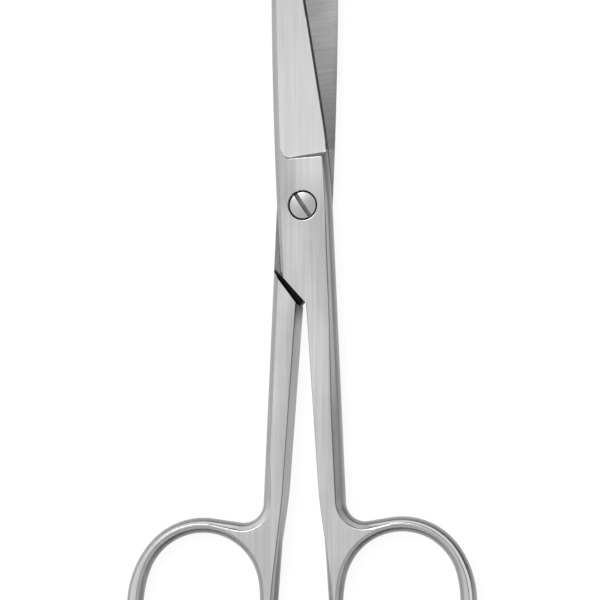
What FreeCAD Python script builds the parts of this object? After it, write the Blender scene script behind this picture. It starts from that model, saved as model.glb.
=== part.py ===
import FreeCAD, Part
import math
import os
from FreeCAD import Vector

# Straight operating scissors of forged stainless steel: two halves that cross in a lap joint and one
# slotted screw. Millimetres. The axis of the screw is the Z axis, the tips point along +Y, and the
# scissors lie flat on z = 0. The upper half has its blade on the left and its ring on the right.

# Stance: the halves are drawn closed, and each is turned by half of this opening.
rest_opening = 5.25

# Lap joint
lap_thickness = 2.0
lap_gap = 0.04
half_width = 5.17
lap_end_angle = 50.5
lap_end_x = 2.5
lap_end_y = -15.05
shoulder_gap = 0.12
lap_end_undercut = 0.3

# Blade outline
blade_reach = 51.1
edge_corner_y = 8.3
edge_tip_x = 0.25
edge_curve_radius = 130.0
back_radius = 1040.0
tip_curve_length = 13.1
tip_curve_radius = 20.9
tip_radius = 0.45
tip_rounding_share = 0.225

# Blade section
spine_height = 1.95
spine_height_at_tip = 0.75
spine_fall_power = 4
edge_land_height = 0.45
edge_land_height_at_tip = 0.28
edge_land_width = 0.34
grind_strip_width = 1.3
grind_shoulder_y = 8.75
grind_steps = 8
cove_radius = 1.1
cove_overrun = 0.07
hollow_share = 0.86
hollow_depth = 0.09
hollow_start_y = 9.0
hollow_tip_margin = 5.0
hollow_end_share = 0.05
hollow_overlap = 0.01
hollow_steps = 6

# Rounded flank and the slope above it, all round the forging
flank_width = 0.73
flank_height = 0.93
flank_strips = 4
slope_width_ring = 0.42
slope_width_shank = 0.97
slope_width_crotch = 0.36
slope_width_box = 0.24
slope_width_blade = 0.62
slope_width_rear_face = 0.42

# Shank
shank_draft = 0.585
shank_inner_x = 0.04
shank_widening_y = -43.0
wall_draft_end_y = -50.0
web_fillet_radius = 3.6
web_rise = 6.0
web_slope_start_x = 15.0
web_slope_end_x = 8.0
taper_start_y = -20.0
ring_end_thickness = 3.5

# Ring, with the values that differ between the two halves in one group each
ring_centre_y = -73.0
hole_half_width = 10.8
hole_half_length = 12.9
hole_end_tightening = 0.3
ring_side_band = 3.1
ring_end_band = 2.75
ring_corner_band = 2.6
ring_inner_side_radius = 20.0
upper_ring = {"wall_clearance": 0.131, "lean": -3.0, "inner_lean": 1.13}
lower_ring = {"wall_clearance": 1.16, "lean": 2.8, "inner_lean": 1.58}

# Screw
head_diameter = 5.0
head_thickness = 1.05
head_edge_break = 0.12
recess_clearance = 0.14
recess_floor_gap = 0.03
recess_edge_break = 0.1
neck_diameter = 3.4
neck_clearance = 0.05
thread_diameter = 2.8
thread_clearance = 0.02
slot_width = 0.7
slot_depth = 0.5
slot_angle = -56.0

full_thickness = 2 * lap_thickness
edge_lean = math.degrees(math.atan2(half_width - edge_tip_x, blade_reach - edge_corner_y))
tip_curve_start = blade_reach - tip_curve_length
hollow_end_y = blade_reach - hollow_tip_margin
hole_end_radius = hole_half_width - hole_end_tightening
ring_end_radius = hole_end_radius + ring_corner_band
reach_beyond = 4 * half_width
tangent_limit = 0.05


def rad(angle):
    return math.radians(angle)


def direction(angle):
    """Unit vector at an angle from +X, in degrees."""
    return (math.cos(rad(angle)), math.sin(rad(angle)))


def along(point, vector, distance):
    return (point[0] + vector[0] * distance, point[1] + vector[1] * distance)


def angle_to(start, end):
    return math.degrees(math.atan2(end[1] - start[1], end[0] - start[0]))


def ramp(value, start, end):
    """Smooth step from 0 at start to 1 at end."""
    share = min(max((value - start) / (end - start), 0.0), 1.0)
    return share * share * (3 - 2 * share)


def blend(low, high, share):
    return low + (high - low) * share


def line(kind, start, end):
    """A straight stretch of an outline that runs counterclockwise, with its outward normals."""
    heading = rad(angle_to(start, end))
    normal = (math.sin(heading), -math.cos(heading))
    middle = ((start[0] + end[0]) / 2, (start[1] + end[1]) / 2)
    return {"kind": kind, "points": [start, middle, end], "normals": [normal] * 3, "round": False}


def arc(kind, centre, radius, start_angle, end_angle):
    """A round stretch: bulging out when the angle grows, hollow when it falls."""
    side = 1 if end_angle > start_angle else -1
    angles = [start_angle, (start_angle + end_angle) / 2, end_angle]
    normals = [(side * direction(a)[0], side * direction(a)[1]) for a in angles]
    points = [along(centre, direction(a), radius) for a in angles]
    return {"kind": kind, "points": points, "normals": normals, "round": True}


def touching_centre(origin, heading, inward, radius, other_centre, distance, forward):
    """Centre of a circle that touches a line and lies at a distance from another centre."""
    offset = (other_centre[0] - origin[0], other_centre[1] - origin[1])
    lengthwise = offset[0] * heading[0] + offset[1] * heading[1]
    across = offset[0] * inward[0] + offset[1] * inward[1]
    reach = math.sqrt(distance ** 2 - (radius - across) ** 2)
    along_line = lengthwise + (reach if forward else -reach)
    return along(along(origin, heading, along_line), inward, radius)


def meet(first, first_heading, second, second_heading):
    """Crossing point of two lines."""
    cross = first_heading[0] * second_heading[1] - first_heading[1] * second_heading[0]
    gap = (second[0] - first[0], second[1] - first[1])
    distance = (gap[0] * second_heading[1] - gap[1] * second_heading[0]) / cross
    return along(first, first_heading, distance)


def cutting_edge_x(y):
    """Cutting edge beside the axis: an arc out of the side of the box, then a straight line."""
    lean = math.tan(rad(edge_lean))
    straight = edge_tip_x + (blade_reach - y) * lean
    curve_end = edge_curve_start() + edge_curve_radius * math.sin(rad(edge_lean))
    if y > curve_end:
        return straight
    rise = max(y - edge_curve_start(), 0.0)
    return half_width - edge_curve_radius + math.sqrt(edge_curve_radius ** 2 - rise ** 2)


def edge_curve_start():
    """Height where the arc of the cutting edge leaves the side of the box."""
    return edge_corner_y - edge_curve_radius * math.tan(rad(edge_lean / 2))


def back_x(y):
    """Back of the blade, up to the curve that brings it to the tip."""
    return -half_width + back_radius - math.sqrt(back_radius ** 2 - max(y, 0.0) ** 2)


def ring_centre(ring):
    """Middle of the ring: its lower end arc stands clear of the line of the inner wall."""
    wall_inward = direction(ring["inner_lean"])
    arc_offset = ring_end_radius - hole_half_length - ring_end_band
    arc_shift = along((0, 0), direction(90 + ring["lean"]), arc_offset)
    arc_height = ring_centre_y + arc_shift[1] - lap_end_y
    distance = ring_end_radius + ring["wall_clearance"]
    arc_x = shank_inner_x + (distance - arc_height * wall_inward[1]) / wall_inward[0]
    return (arc_x - arc_shift[0], ring_centre_y)


def outline(ring):
    """Outline of one half at mid thickness, counterclockwise from the crotch."""
    lean = ring["lean"]
    centre = ring_centre(ring)
    upward = direction(90 + lean)
    outward = direction(lean)
    outer_half_width = hole_half_width + ring_side_band
    outer_half_length = hole_half_length + ring_end_band
    side_radius = oval_side_radius(outer_half_width, outer_half_length, ring_end_radius)
    top_centre = along(centre, upward, outer_half_length - ring_end_radius)
    bottom_centre = along(centre, upward, ring_end_radius - outer_half_length)
    side_centre = along(centre, outward, outer_half_width - side_radius)

    # Inner wall of the shank, down to the inner side of the ring
    lap_heading = direction(-lap_end_angle)
    wall_heading = direction(ring["inner_lean"] - 90)
    wall_inward = direction(ring["inner_lean"])
    wall_start = (shank_inner_x, lap_end_y)
    lap_end = (-lap_end_x, lap_end_y)
    crotch = meet(lap_end, lap_heading, wall_start, wall_heading)
    box_corner = meet(lap_end, lap_heading, (-half_width, 0), (0, 1))
    inner_centre = touching_centre(wall_start, wall_heading, wall_inward, ring_inner_side_radius,
                                   bottom_centre, ring_inner_side_radius - ring_end_radius, False)
    wall_end = along(inner_centre, wall_inward, -ring_inner_side_radius)
    wall_middle = meet(wall_start, wall_heading, (0, shank_widening_y), (1, 0))
    inner_end_angle = angle_to(inner_centre, bottom_centre) % 360
    side_start_angle = angle_to(side_centre, bottom_centre)
    side_end_angle = angle_to(side_centre, top_centre)

    # Web between ring and shank
    web_up = direction(90 + web_rise)
    web_start = along(top_centre, web_up, ring_end_radius)
    fillet_x = half_width + web_fillet_radius
    fillet_y = web_start[1] + (web_fillet_radius - (fillet_x - web_start[0]) * web_up[0]) / web_up[1]
    fillet_centre = (fillet_x, fillet_y)
    web_end = along(fillet_centre, web_up, -web_fillet_radius)

    # Cutting edge and tip
    edge_start = edge_curve_start()
    edge_centre = (half_width - edge_curve_radius, edge_start)
    edge_heading = direction(90 + edge_lean)
    edge_inward = direction(180 + edge_lean)
    edge_line_start = along(edge_centre, direction(edge_lean), edge_curve_radius)
    back_centre = (back_radius - half_width, 0)
    curve_start = (back_x(tip_curve_start), tip_curve_start)
    back_angle = angle_to(back_centre, curve_start)
    curve_centre = along(curve_start, direction(back_angle), -tip_curve_radius)
    tip_centre = touching_centre(edge_line_start, edge_heading, edge_inward, tip_radius,
                                 curve_centre, tip_curve_radius - tip_radius, True)
    edge_end = along(tip_centre, edge_inward, -tip_radius)
    tip_angle = angle_to(curve_centre, tip_centre)
    edge_middle = meet(edge_line_start, edge_heading, (0, tip_curve_start), (1, 0))

    return [
        line("wall", crotch, wall_middle),
        line("wall", wall_middle, wall_end),
        arc("ring", inner_centre, ring_inner_side_radius, 180 + ring["inner_lean"], inner_end_angle),
        arc("ring", bottom_centre, ring_end_radius, inner_end_angle, side_start_angle + 360),
        arc("ring", side_centre, side_radius, side_start_angle, side_end_angle),
        arc("ring", top_centre, ring_end_radius, side_end_angle, 90 + web_rise),
        line("web", web_start, web_end),
        arc("side", fillet_centre, web_fillet_radius, 270 + web_rise, 180),
        line("side", (half_width, fillet_y), (half_width, shank_widening_y)),
        line("side", (half_width, shank_widening_y), (half_width, lap_end_y)),
        line("side", (half_width, lap_end_y), (half_width, edge_start)),
        arc("side", edge_centre, edge_curve_radius, 0, edge_lean),
        line("side", edge_line_start, edge_middle),
        line("side", edge_middle, edge_end),
        arc("side", tip_centre, tip_radius, edge_lean, tip_angle),
        arc("back", curve_centre, tip_curve_radius, tip_angle, back_angle),
        arc("back", back_centre, back_radius, back_angle, 180),
        line("back", (-half_width, 0), box_corner),
        line("cut", box_corner, crotch),
    ]


def oval_side_radius(half_width_of_oval, half_length_of_oval, end_radius):
    """Side radius that joins the end arcs of a four arc oval smoothly."""
    squares = half_width_of_oval ** 2 + half_length_of_oval ** 2
    return (squares - 2 * half_length_of_oval * end_radius) / (2 * (half_width_of_oval - end_radius))


def slope_width(kind, point):
    """Width of the slope above the flank, at one place of the outline."""
    y = point[1]
    if kind in ("ring", "wall"):
        return slope_width_ring
    if kind == "web":
        share = ramp(point[0], web_slope_start_x, web_slope_end_x)
        return blend(slope_width_ring, slope_width_shank, share)
    if kind == "back":
        return blend(slope_width_box, slope_width_blade, ramp(y, 0, grind_shoulder_y))
    lower = blend(slope_width_shank, slope_width_crotch, ramp(y, shank_widening_y, lap_end_y))
    return blend(lower, slope_width_box, ramp(y, lap_end_y, 0))


def inset(kind, point, height):
    """How far the outline draws in at a height above or below mid thickness."""
    if kind == "cut":
        return lap_end_undercut * max(-height, 0.0)
    share = min(abs(height) / flank_height, 1.0)
    flank = flank_width * (1 - math.sqrt(1 - share ** 2))
    above = max(abs(height) - flank_height, 0) / (lap_thickness - flank_height)
    slope = slope_width(kind, point)
    if height < 0:
        slope = min(slope, slope_width_rear_face)
    rounded = flank + slope * above
    if kind == "wall":
        drafted = -shank_draft * height / full_thickness
        return blend(drafted, rounded, ramp(point[1], wall_draft_end_y, ring_centre_y))
    if point[1] > tip_curve_start:
        return rounded * blend(1.0, tip_rounding_share, ramp(point[1], tip_curve_start, blade_reach))
    return rounded


def junction_shift(before, after, height):
    """Inward move of the point that two stretches share."""
    point = before["points"][2]
    first = before["normals"][2]
    second = after["normals"][0]
    first_inset = inset(before["kind"], point, height)
    second_inset = inset(after["kind"], point, height)
    cross = first[0] * second[1] - first[1] * second[0]
    if abs(cross) < tangent_limit:
        middle = (first_inset + second_inset) / 2
        return (-middle * first[0], -middle * first[1])
    return (-(first_inset * second[1] - second_inset * first[1]) / cross,
            -(second_inset * first[0] - first_inset * second[0]) / cross)


def level_wire(stretches, height):
    """The outline at one height, drawn in by the flank and the slope there."""
    count = len(stretches)
    corners = []
    for index, stretch in enumerate(stretches):
        shift = junction_shift(stretches[index - 1], stretch, height)
        start = stretch["points"][0]
        corners.append(Vector(start[0] + shift[0], start[1] + shift[1], height))
    edges = []
    for index, stretch in enumerate(stretches):
        start = corners[index]
        end = corners[(index + 1) % count]
        if not stretch["round"]:
            edges.append(Part.LineSegment(start, end).toShape())
            continue
        middle = along(stretch["points"][1], stretch["normals"][1],
                       -inset(stretch["kind"], stretch["points"][1], height))
        edges.append(Part.Arc(start, Vector(middle[0], middle[1], height), end).toShape())
    return Part.Wire(edges)


def side_faces(wire_at):
    """Faces all round one contour: the rounded flank in narrow strips, then the slopes."""
    step = 90 / flank_strips
    angles = [index * step - 90 for index in range(2 * flank_strips + 1)]
    heights = [flank_height * math.sin(rad(angle)) for angle in angles]
    wires = [wire_at(height) for height in [-lap_thickness] + heights + [lap_thickness]]
    return Part.makeLoft(wires, False, True).Faces


def hole_wire(ring, height):
    """The finger hole at one height: a four arc oval that opens towards both faces."""
    growth = inset("ring", ring_centre(ring), height)
    side_radius = oval_side_radius(hole_half_width, hole_half_length, hole_end_radius)
    centre = ring_centre(ring)
    lean = ring["lean"]
    top_centre = along(centre, direction(90 + lean), hole_half_length - hole_end_radius)
    bottom_centre = along(centre, direction(90 + lean), hole_end_radius - hole_half_length)
    right_centre = along(centre, direction(lean), hole_half_width - side_radius)
    left_centre = along(centre, direction(lean), side_radius - hole_half_width)
    right_low = angle_to(right_centre, bottom_centre)
    right_high = angle_to(right_centre, top_centre)
    left_high = angle_to(left_centre, top_centre) % 360
    left_low = angle_to(left_centre, bottom_centre) % 360
    arcs = [
        (right_centre, side_radius, right_low, right_high),
        (top_centre, hole_end_radius, right_high, left_high),
        (left_centre, side_radius, left_high, left_low),
        (bottom_centre, hole_end_radius, left_low, right_low + 360),
    ]
    edges = []
    for arc_centre, radius, start_angle, end_angle in arcs:
        angles = (start_angle, (start_angle + end_angle) / 2, end_angle)
        places = [along(arc_centre, direction(a), radius + growth) for a in angles]
        edges.append(Part.Arc(*[Vector(x, y, height) for x, y in places]).toShape())
    return Part.Wire(edges)


def blank(ring):
    """The full forging before grinding: outline and finger hole, closed by both flat faces."""
    stretches = outline(ring)
    faces = side_faces(lambda height: level_wire(stretches, height))
    faces += side_faces(lambda height: hole_wire(ring, height))
    for height in (-lap_thickness, lap_thickness):
        face = Part.Face(level_wire(stretches, height))
        faces += face.cut(Part.Face(hole_wire(ring, height))).Faces
    shell = Part.Shell(faces)
    shell.sewShape()
    solid = Part.Solid(shell)
    if solid.Volume < 0:
        solid.reverse()
    return solid


def polygon_face(points):
    return Part.Face(Part.makePolygon(points + [points[0]]))


def ground_line(y):
    """Where the ground outer face of the blade starts and ends at one station."""
    share = (y - grind_shoulder_y) / (blade_reach - grind_shoulder_y)
    land_x = cutting_edge_x(y) - edge_land_width
    land_z = blend(edge_land_height, edge_land_height_at_tip, share)
    spine_x = back_x(y) + grind_strip_width
    spine_z = blend(spine_height, spine_height_at_tip, share ** spine_fall_power)
    return (spine_x, spine_z), (land_x, land_z)


def grind_station(y):
    """Section of what the grinding takes off: ground face, cutting bevel and the space above."""
    spine, land = ground_line(y)
    slope = (spine[1] - land[1]) / (spine[0] - land[0])
    bevel_slope = land[1] / edge_land_width
    far_x = spine[0] - full_thickness
    edge_x = land[0] + edge_land_width
    return [
        Vector(far_x, y, spine[1] + (far_x - spine[0]) * slope),
        Vector(land[0], y, land[1]),
        Vector(edge_x + edge_land_width, y, -edge_land_width * bevel_slope),
        Vector(edge_x + edge_land_width, y, full_thickness),
        Vector(far_x, y, full_thickness),
    ]


def grind_cutter():
    """Wheel path over the outer face, with the cove where the wheel stopped at the box."""
    cove_end = grind_shoulder_y + cove_radius
    run = blade_reach + tip_radius - cove_end
    stations = [cove_end + run * index / grind_steps for index in range(grind_steps + 1)]
    wires = [Part.makePolygon(grind_station(y) + [grind_station(y)[0]]) for y in stations]
    face_cut = Part.makeLoft(wires, True, False)
    spine, land = ground_line(cove_end)
    tilt = math.atan2(land[1] - spine[1], land[0] - spine[0])
    normal = Vector(-math.sin(tilt), 0, math.cos(tilt))
    across = Vector(math.cos(tilt), 0, math.sin(tilt))
    low = Vector(land[0], cove_end, land[1]) - across * reach_beyond
    centre = low + normal * cove_radius
    side = centre + Vector(0, -cove_radius, 0)
    middle = centre + (Vector(0, -1, 0) - normal) * (cove_radius * math.sin(rad(45)))
    high_side = side + normal * full_thickness
    high = low + normal * (cove_radius + full_thickness)
    edges = [
        Part.Arc(low, middle, side).toShape(),
        Part.LineSegment(side, high_side).toShape(),
        Part.LineSegment(high_side, high).toShape(),
        Part.LineSegment(high, low).toShape(),
    ]
    cove = Part.Face(Part.Wire(edges)).extrude(across * (reach_beyond + cove_overrun))
    return face_cut, cove


def hollow_section(y):
    """Lens shaped section of the hollow at one station of the inner face."""
    width = (cutting_edge_x(y) - back_x(y)) * hollow_share
    middle_x = (cutting_edge_x(y) + back_x(y)) / 2
    swell = math.sin(math.pi * (y - hollow_start_y) / (hollow_end_y - hollow_start_y))
    base = lap_gap / 2 - hollow_overlap
    crown = lap_gap / 2 + hollow_depth * max(swell, hollow_end_share)
    left = Vector(middle_x - width / 2, y, base)
    right = Vector(middle_x + width / 2, y, base)
    low = Vector(0, 0, -lap_thickness)
    edges = [
        Part.Arc(left, Vector(middle_x, y, crown), right).toShape(),
        Part.LineSegment(right, right + low).toShape(),
        Part.LineSegment(right + low, left + low).toShape(),
        Part.LineSegment(left + low, left).toShape(),
    ]
    return Part.Wire(edges)


def hollow_cutter():
    """Slight hollow of the inner face, so that the blades touch only at their edges."""
    step = (hollow_end_y - hollow_start_y) / hollow_steps
    stations = [hollow_start_y + index * step for index in range(hollow_steps + 1)]
    return Part.makeLoft([hollow_section(y) for y in stations], True, False)


def lap_cutter():
    """Room for the other half: all below mid thickness, above the shoulder of the shank."""
    rise = math.tan(rad(lap_end_angle))
    drop = shoulder_gap / math.cos(rad(lap_end_angle))
    left = -reach_beyond
    right = reach_beyond
    low = -2 * lap_thickness
    points = [
        Vector(left, lap_end_y - drop + (left - lap_end_x) * rise, low),
        Vector(right, lap_end_y - drop + (right - lap_end_x) * rise, low),
        Vector(right, blade_reach + reach_beyond, low),
        Vector(left, blade_reach + reach_beyond, low),
    ]
    return polygon_face(points).extrude(Vector(0, 0, lap_gap / 2 - low))


def taper_cutters():
    """The shank thins evenly towards the ring on both faces."""
    ring_end_y = ring_centre_y - hole_half_length - ring_end_band
    slope = (full_thickness - ring_end_thickness) / 2 / (taper_start_y - ring_end_y)
    far_y = ring_end_y - reach_beyond
    far_z = lap_thickness - slope * (taper_start_y - far_y)
    cutters = []
    for face in (1, -1):
        points = [
            Vector(-reach_beyond, taper_start_y, face * lap_thickness),
            Vector(-reach_beyond, far_y, face * far_z),
            Vector(-reach_beyond, far_y, face * 2 * lap_thickness),
            Vector(-reach_beyond, taper_start_y, face * 2 * lap_thickness),
        ]
        cutters.append(polygon_face(points).extrude(Vector(3 * reach_beyond, 0, 0)))
    return cutters


def forging(ring):
    """One half, closed and with its outer face up, about mid thickness."""
    face_cut, cove = grind_cutter()
    body = blank(ring).cut(lap_cutter())
    body = body.cut(taper_cutters())
    body = body.cut(cove)
    body = body.cut(face_cut)
    body = body.cut(hollow_cutter())
    return body.removeSplitter()


def cylinder(diameter, low, high):
    return Part.makeCylinder(diameter / 2, high - low, Vector(0, 0, low))


def cone(low_diameter, high_diameter, low, high):
    return Part.makeCone(low_diameter / 2, high_diameter / 2, high - low, Vector(0, 0, low))


def upper_half():
    """Front half: its box carries the recess for the head and the bore that runs on the neck."""
    half = forging(upper_ring)
    recess_diameter = head_diameter + 2 * recess_clearance
    recess_floor = lap_thickness - head_thickness - recess_floor_gap
    half = half.cut(cylinder(recess_diameter, recess_floor, 2 * lap_thickness))
    half = half.cut(cone(recess_diameter, recess_diameter + 4 * recess_edge_break,
                         lap_thickness - recess_edge_break, lap_thickness + recess_edge_break))
    half = half.cut(cylinder(neck_diameter + 2 * neck_clearance, -lap_thickness, lap_thickness))
    half.rotate(Vector(0, 0, 0), Vector(0, 0, 1), rest_opening / 2)
    half.translate(Vector(0, 0, lap_thickness))
    return half


def lower_half():
    """Rear half: the same forging turned over, with the threaded hole."""
    half = forging(lower_ring)
    half = half.cut(cylinder(thread_diameter + 2 * thread_clearance, -lap_thickness, 2 * lap_thickness))
    half.rotate(Vector(0, 0, 0), Vector(0, 1, 0), 180)
    half.rotate(Vector(0, 0, 0), Vector(0, 0, 1), -rest_opening / 2)
    half.translate(Vector(0, 0, lap_thickness))
    return half


def pivot_screw():
    """Slotted screw: flush head, smooth neck through the upper half, threaded end in the lower."""
    head_top = full_thickness
    head_low = head_top - head_thickness
    neck_low = lap_thickness - lap_gap / 2
    screw = cylinder(head_diameter, head_low, head_top - head_edge_break)
    screw = screw.fuse(cone(head_diameter, head_diameter - 2 * head_edge_break,
                            head_top - head_edge_break, head_top))
    screw = screw.fuse(cylinder(neck_diameter, neck_low, head_low))
    screw = screw.fuse(cylinder(thread_diameter, 0, neck_low))
    slot = Part.makeBox(2 * head_diameter, slot_width, 2 * slot_depth,
                        Vector(-head_diameter, -slot_width / 2, head_top - slot_depth))
    slot.rotate(Vector(0, 0, 0), Vector(0, 0, 1), slot_angle)
    return screw.cut(slot).removeSplitter()


def single_solid(shape):
    solids = shape.Solids
    if len(solids) != 1 or not shape.isValid():
        raise ValueError("expected one valid solid")
    return solids[0]


os.makedirs("parts", exist_ok=True)
nodes = {"upper_half": upper_half(), "lower_half": lower_half(), "pivot_screw": pivot_screw()}
for name, shape in nodes.items():
    solid = single_solid(shape)
    solid.exportStep("parts/" + name + ".step")
    box = solid.BoundBox
    print(name, "volume %.2f mm3" % solid.Volume, "faces", len(solid.Faces),
          "lies within %.1f by %.1f by %.1f mm" % (box.XLength, box.YLength, box.ZLength))
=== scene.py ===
import bmesh
import bpy
import math
import numpy as np
from mathutils import Matrix, Vector
from mathutils.geometry import delaunay_2d_cdt


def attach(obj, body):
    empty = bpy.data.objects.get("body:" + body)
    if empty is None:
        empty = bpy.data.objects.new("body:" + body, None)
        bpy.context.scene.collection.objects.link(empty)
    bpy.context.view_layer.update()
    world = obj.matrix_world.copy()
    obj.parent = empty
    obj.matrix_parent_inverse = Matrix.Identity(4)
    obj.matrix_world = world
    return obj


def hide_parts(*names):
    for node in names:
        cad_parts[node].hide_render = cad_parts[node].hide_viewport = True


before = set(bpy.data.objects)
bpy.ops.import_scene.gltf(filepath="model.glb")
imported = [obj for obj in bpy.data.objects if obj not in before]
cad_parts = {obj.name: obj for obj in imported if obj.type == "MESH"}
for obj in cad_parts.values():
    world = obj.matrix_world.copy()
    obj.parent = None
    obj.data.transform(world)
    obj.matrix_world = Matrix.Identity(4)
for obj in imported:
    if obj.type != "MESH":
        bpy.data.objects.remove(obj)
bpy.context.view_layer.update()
scene = bpy.context.scene

# Nearly straight down on the scissors, leaning a little to the right and towards the rings.
cameraSet = {
    "aim": (0.0, 0.0, 0.002),             # on the axis of the screw, at mid thickness
    "aimPixel": (304.8, 205.9),           # where that point lies in the 600 pixel frame
    "lean": (0.2126, -0.065, 1.0),        # direction from the scissors to the camera
    "pixelsPerMetre": 5500.0,
    "framePixels": 600.0,
    "distance": 1.6,
    "sensor": 36.0,
}


# Right and up are cross products with the viewing direction. The camera stands back along it from the point that the
# middle of the frame shows, and the lens is sensor times distance over the width shown there.
def makeCamera(s):
    toCamera = Vector(s["lean"]).normalized()
    right = Vector((0, 1, 0)).cross(toCamera).normalized()
    up = toCamera.cross(right)
    half = s["framePixels"] / 2
    middle = (Vector(s["aim"]) + right * ((half - s["aimPixel"][0]) / s["pixelsPerMetre"])
              + up * ((s["aimPixel"][1] - half) / s["pixelsPerMetre"]))
    data = bpy.data.cameras.new("photoCamera")
    data.sensor_width = s["sensor"]
    data.lens = s["sensor"] * s["distance"] * s["pixelsPerMetre"] / s["framePixels"]
    data.clip_start = 0.01
    data.clip_end = 20
    camera = bpy.data.objects.new("photoCamera", data)
    scene.collection.objects.link(camera)
    place = Matrix((right, up, toCamera)).transposed().to_4x4()
    place.translation = middle + toCamera * s["distance"]
    camera.matrix_world = place
    scene.camera = camera


makeCamera(cameraSet)
print("camera made")


# One soft lamp, a sky that is brighter on one side, and a white floor.
lightSet = {
    "skyAxis": (0.94, -0.34, 0.0),        # from the soft box side to the dark side of the studio
    "skyBands": ((-1.0, 0.9), (-0.65, 1.7), (-0.44, 1.65), (-0.28, 1.25), (-0.13, 0.68), (0.03, 0.66),
                 (0.18, 2.25), (0.32, 0.85), (0.46, 0.0), (0.66, 0.04), (0.82, 0.55), (1.0, 0.95)),
    "flagFrom": 0.5,                      # dark flags stand beyond the blades and the rings, past this lean
    "flagTo": 0.8,
    "flagShare": 0.12,                    # brightness left behind it
    "keyPlace": (-0.35, 0.5, 0.8),
    "keySize": 0.4,
    "keyPower": 2.2,
    "floorSize": 3.0,
    "floorDrop": 0.00003,                 # a hair below the scissors, so that their rear faces stay clear of it
    "floorGlow": 0.9,                     # the floor's own white
    "floorShade": 0.2,                    # what the lamps add to it, less in a shadow
}


# A square lamp that faces the origin.
def areaLamp(name, place, size, power):
    data = bpy.data.lights.new(name, "AREA")
    data.shape = "SQUARE"
    data.size = size
    data.energy = power
    lamp = bpy.data.objects.new(name, data)
    scene.collection.objects.link(lamp)
    lamp.location = place
    lamp.rotation_mode = "QUATERNION"
    lamp.rotation_quaternion = Vector(place).to_track_quat("Z", "Y")
    lamp.visible_camera = False


# Sky brightness is a smooth curve over the direction across the scissors, times a share that falls behind the flag.
def makeSky(s):
    world = bpy.data.worlds.new("studioSky")
    scene.world = world
    world.use_nodes = True
    nodes = world.node_tree.nodes
    links = world.node_tree.links
    nodes.clear()
    place = nodes.new("ShaderNodeTexCoord")
    across = nodes.new("ShaderNodeVectorMath")
    across.operation = "DOT_PRODUCT"
    across.inputs[1].default_value = Vector(s["skyAxis"]).normalized()
    share = nodes.new("ShaderNodeMapRange")
    share.inputs["From Min"].default_value = -1.0
    bands = nodes.new("ShaderNodeValToRGB")
    bands.color_ramp.interpolation = "B_SPLINE"
    stops = bands.color_ramp.elements
    for index, (at, level) in enumerate(s["skyBands"]):
        stop = stops[index] if index < 2 else stops.new((at + 1) / 2)
        stop.position = (at + 1) / 2
        stop.color = (level, level, level, 1)
    split = nodes.new("ShaderNodeSeparateXYZ")
    lean = nodes.new("ShaderNodeMath")
    lean.operation = "ABSOLUTE"
    flag = nodes.new("ShaderNodeMapRange")
    flag.interpolation_type = "SMOOTHSTEP"
    flag.inputs["From Min"].default_value = s["flagFrom"]
    flag.inputs["From Max"].default_value = s["flagTo"]
    flag.inputs["To Min"].default_value = 1.0
    flag.inputs["To Max"].default_value = s["flagShare"]
    level = nodes.new("ShaderNodeMath")
    level.operation = "MULTIPLY"
    glow = nodes.new("ShaderNodeBackground")
    end = nodes.new("ShaderNodeOutputWorld")
    links.new(place.outputs["Generated"], across.inputs[0])
    links.new(across.outputs["Value"], share.inputs["Value"])
    links.new(share.outputs["Result"], bands.inputs["Fac"])
    links.new(place.outputs["Generated"], split.inputs[0])
    links.new(split.outputs["Y"], lean.inputs[0])
    links.new(lean.outputs[0], flag.inputs["Value"])
    links.new(bands.outputs["Color"], level.inputs[0])
    links.new(flag.outputs["Result"], level.inputs[1])
    links.new(level.outputs[0], glow.inputs["Strength"])
    links.new(glow.outputs[0], end.inputs["Surface"])


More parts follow.
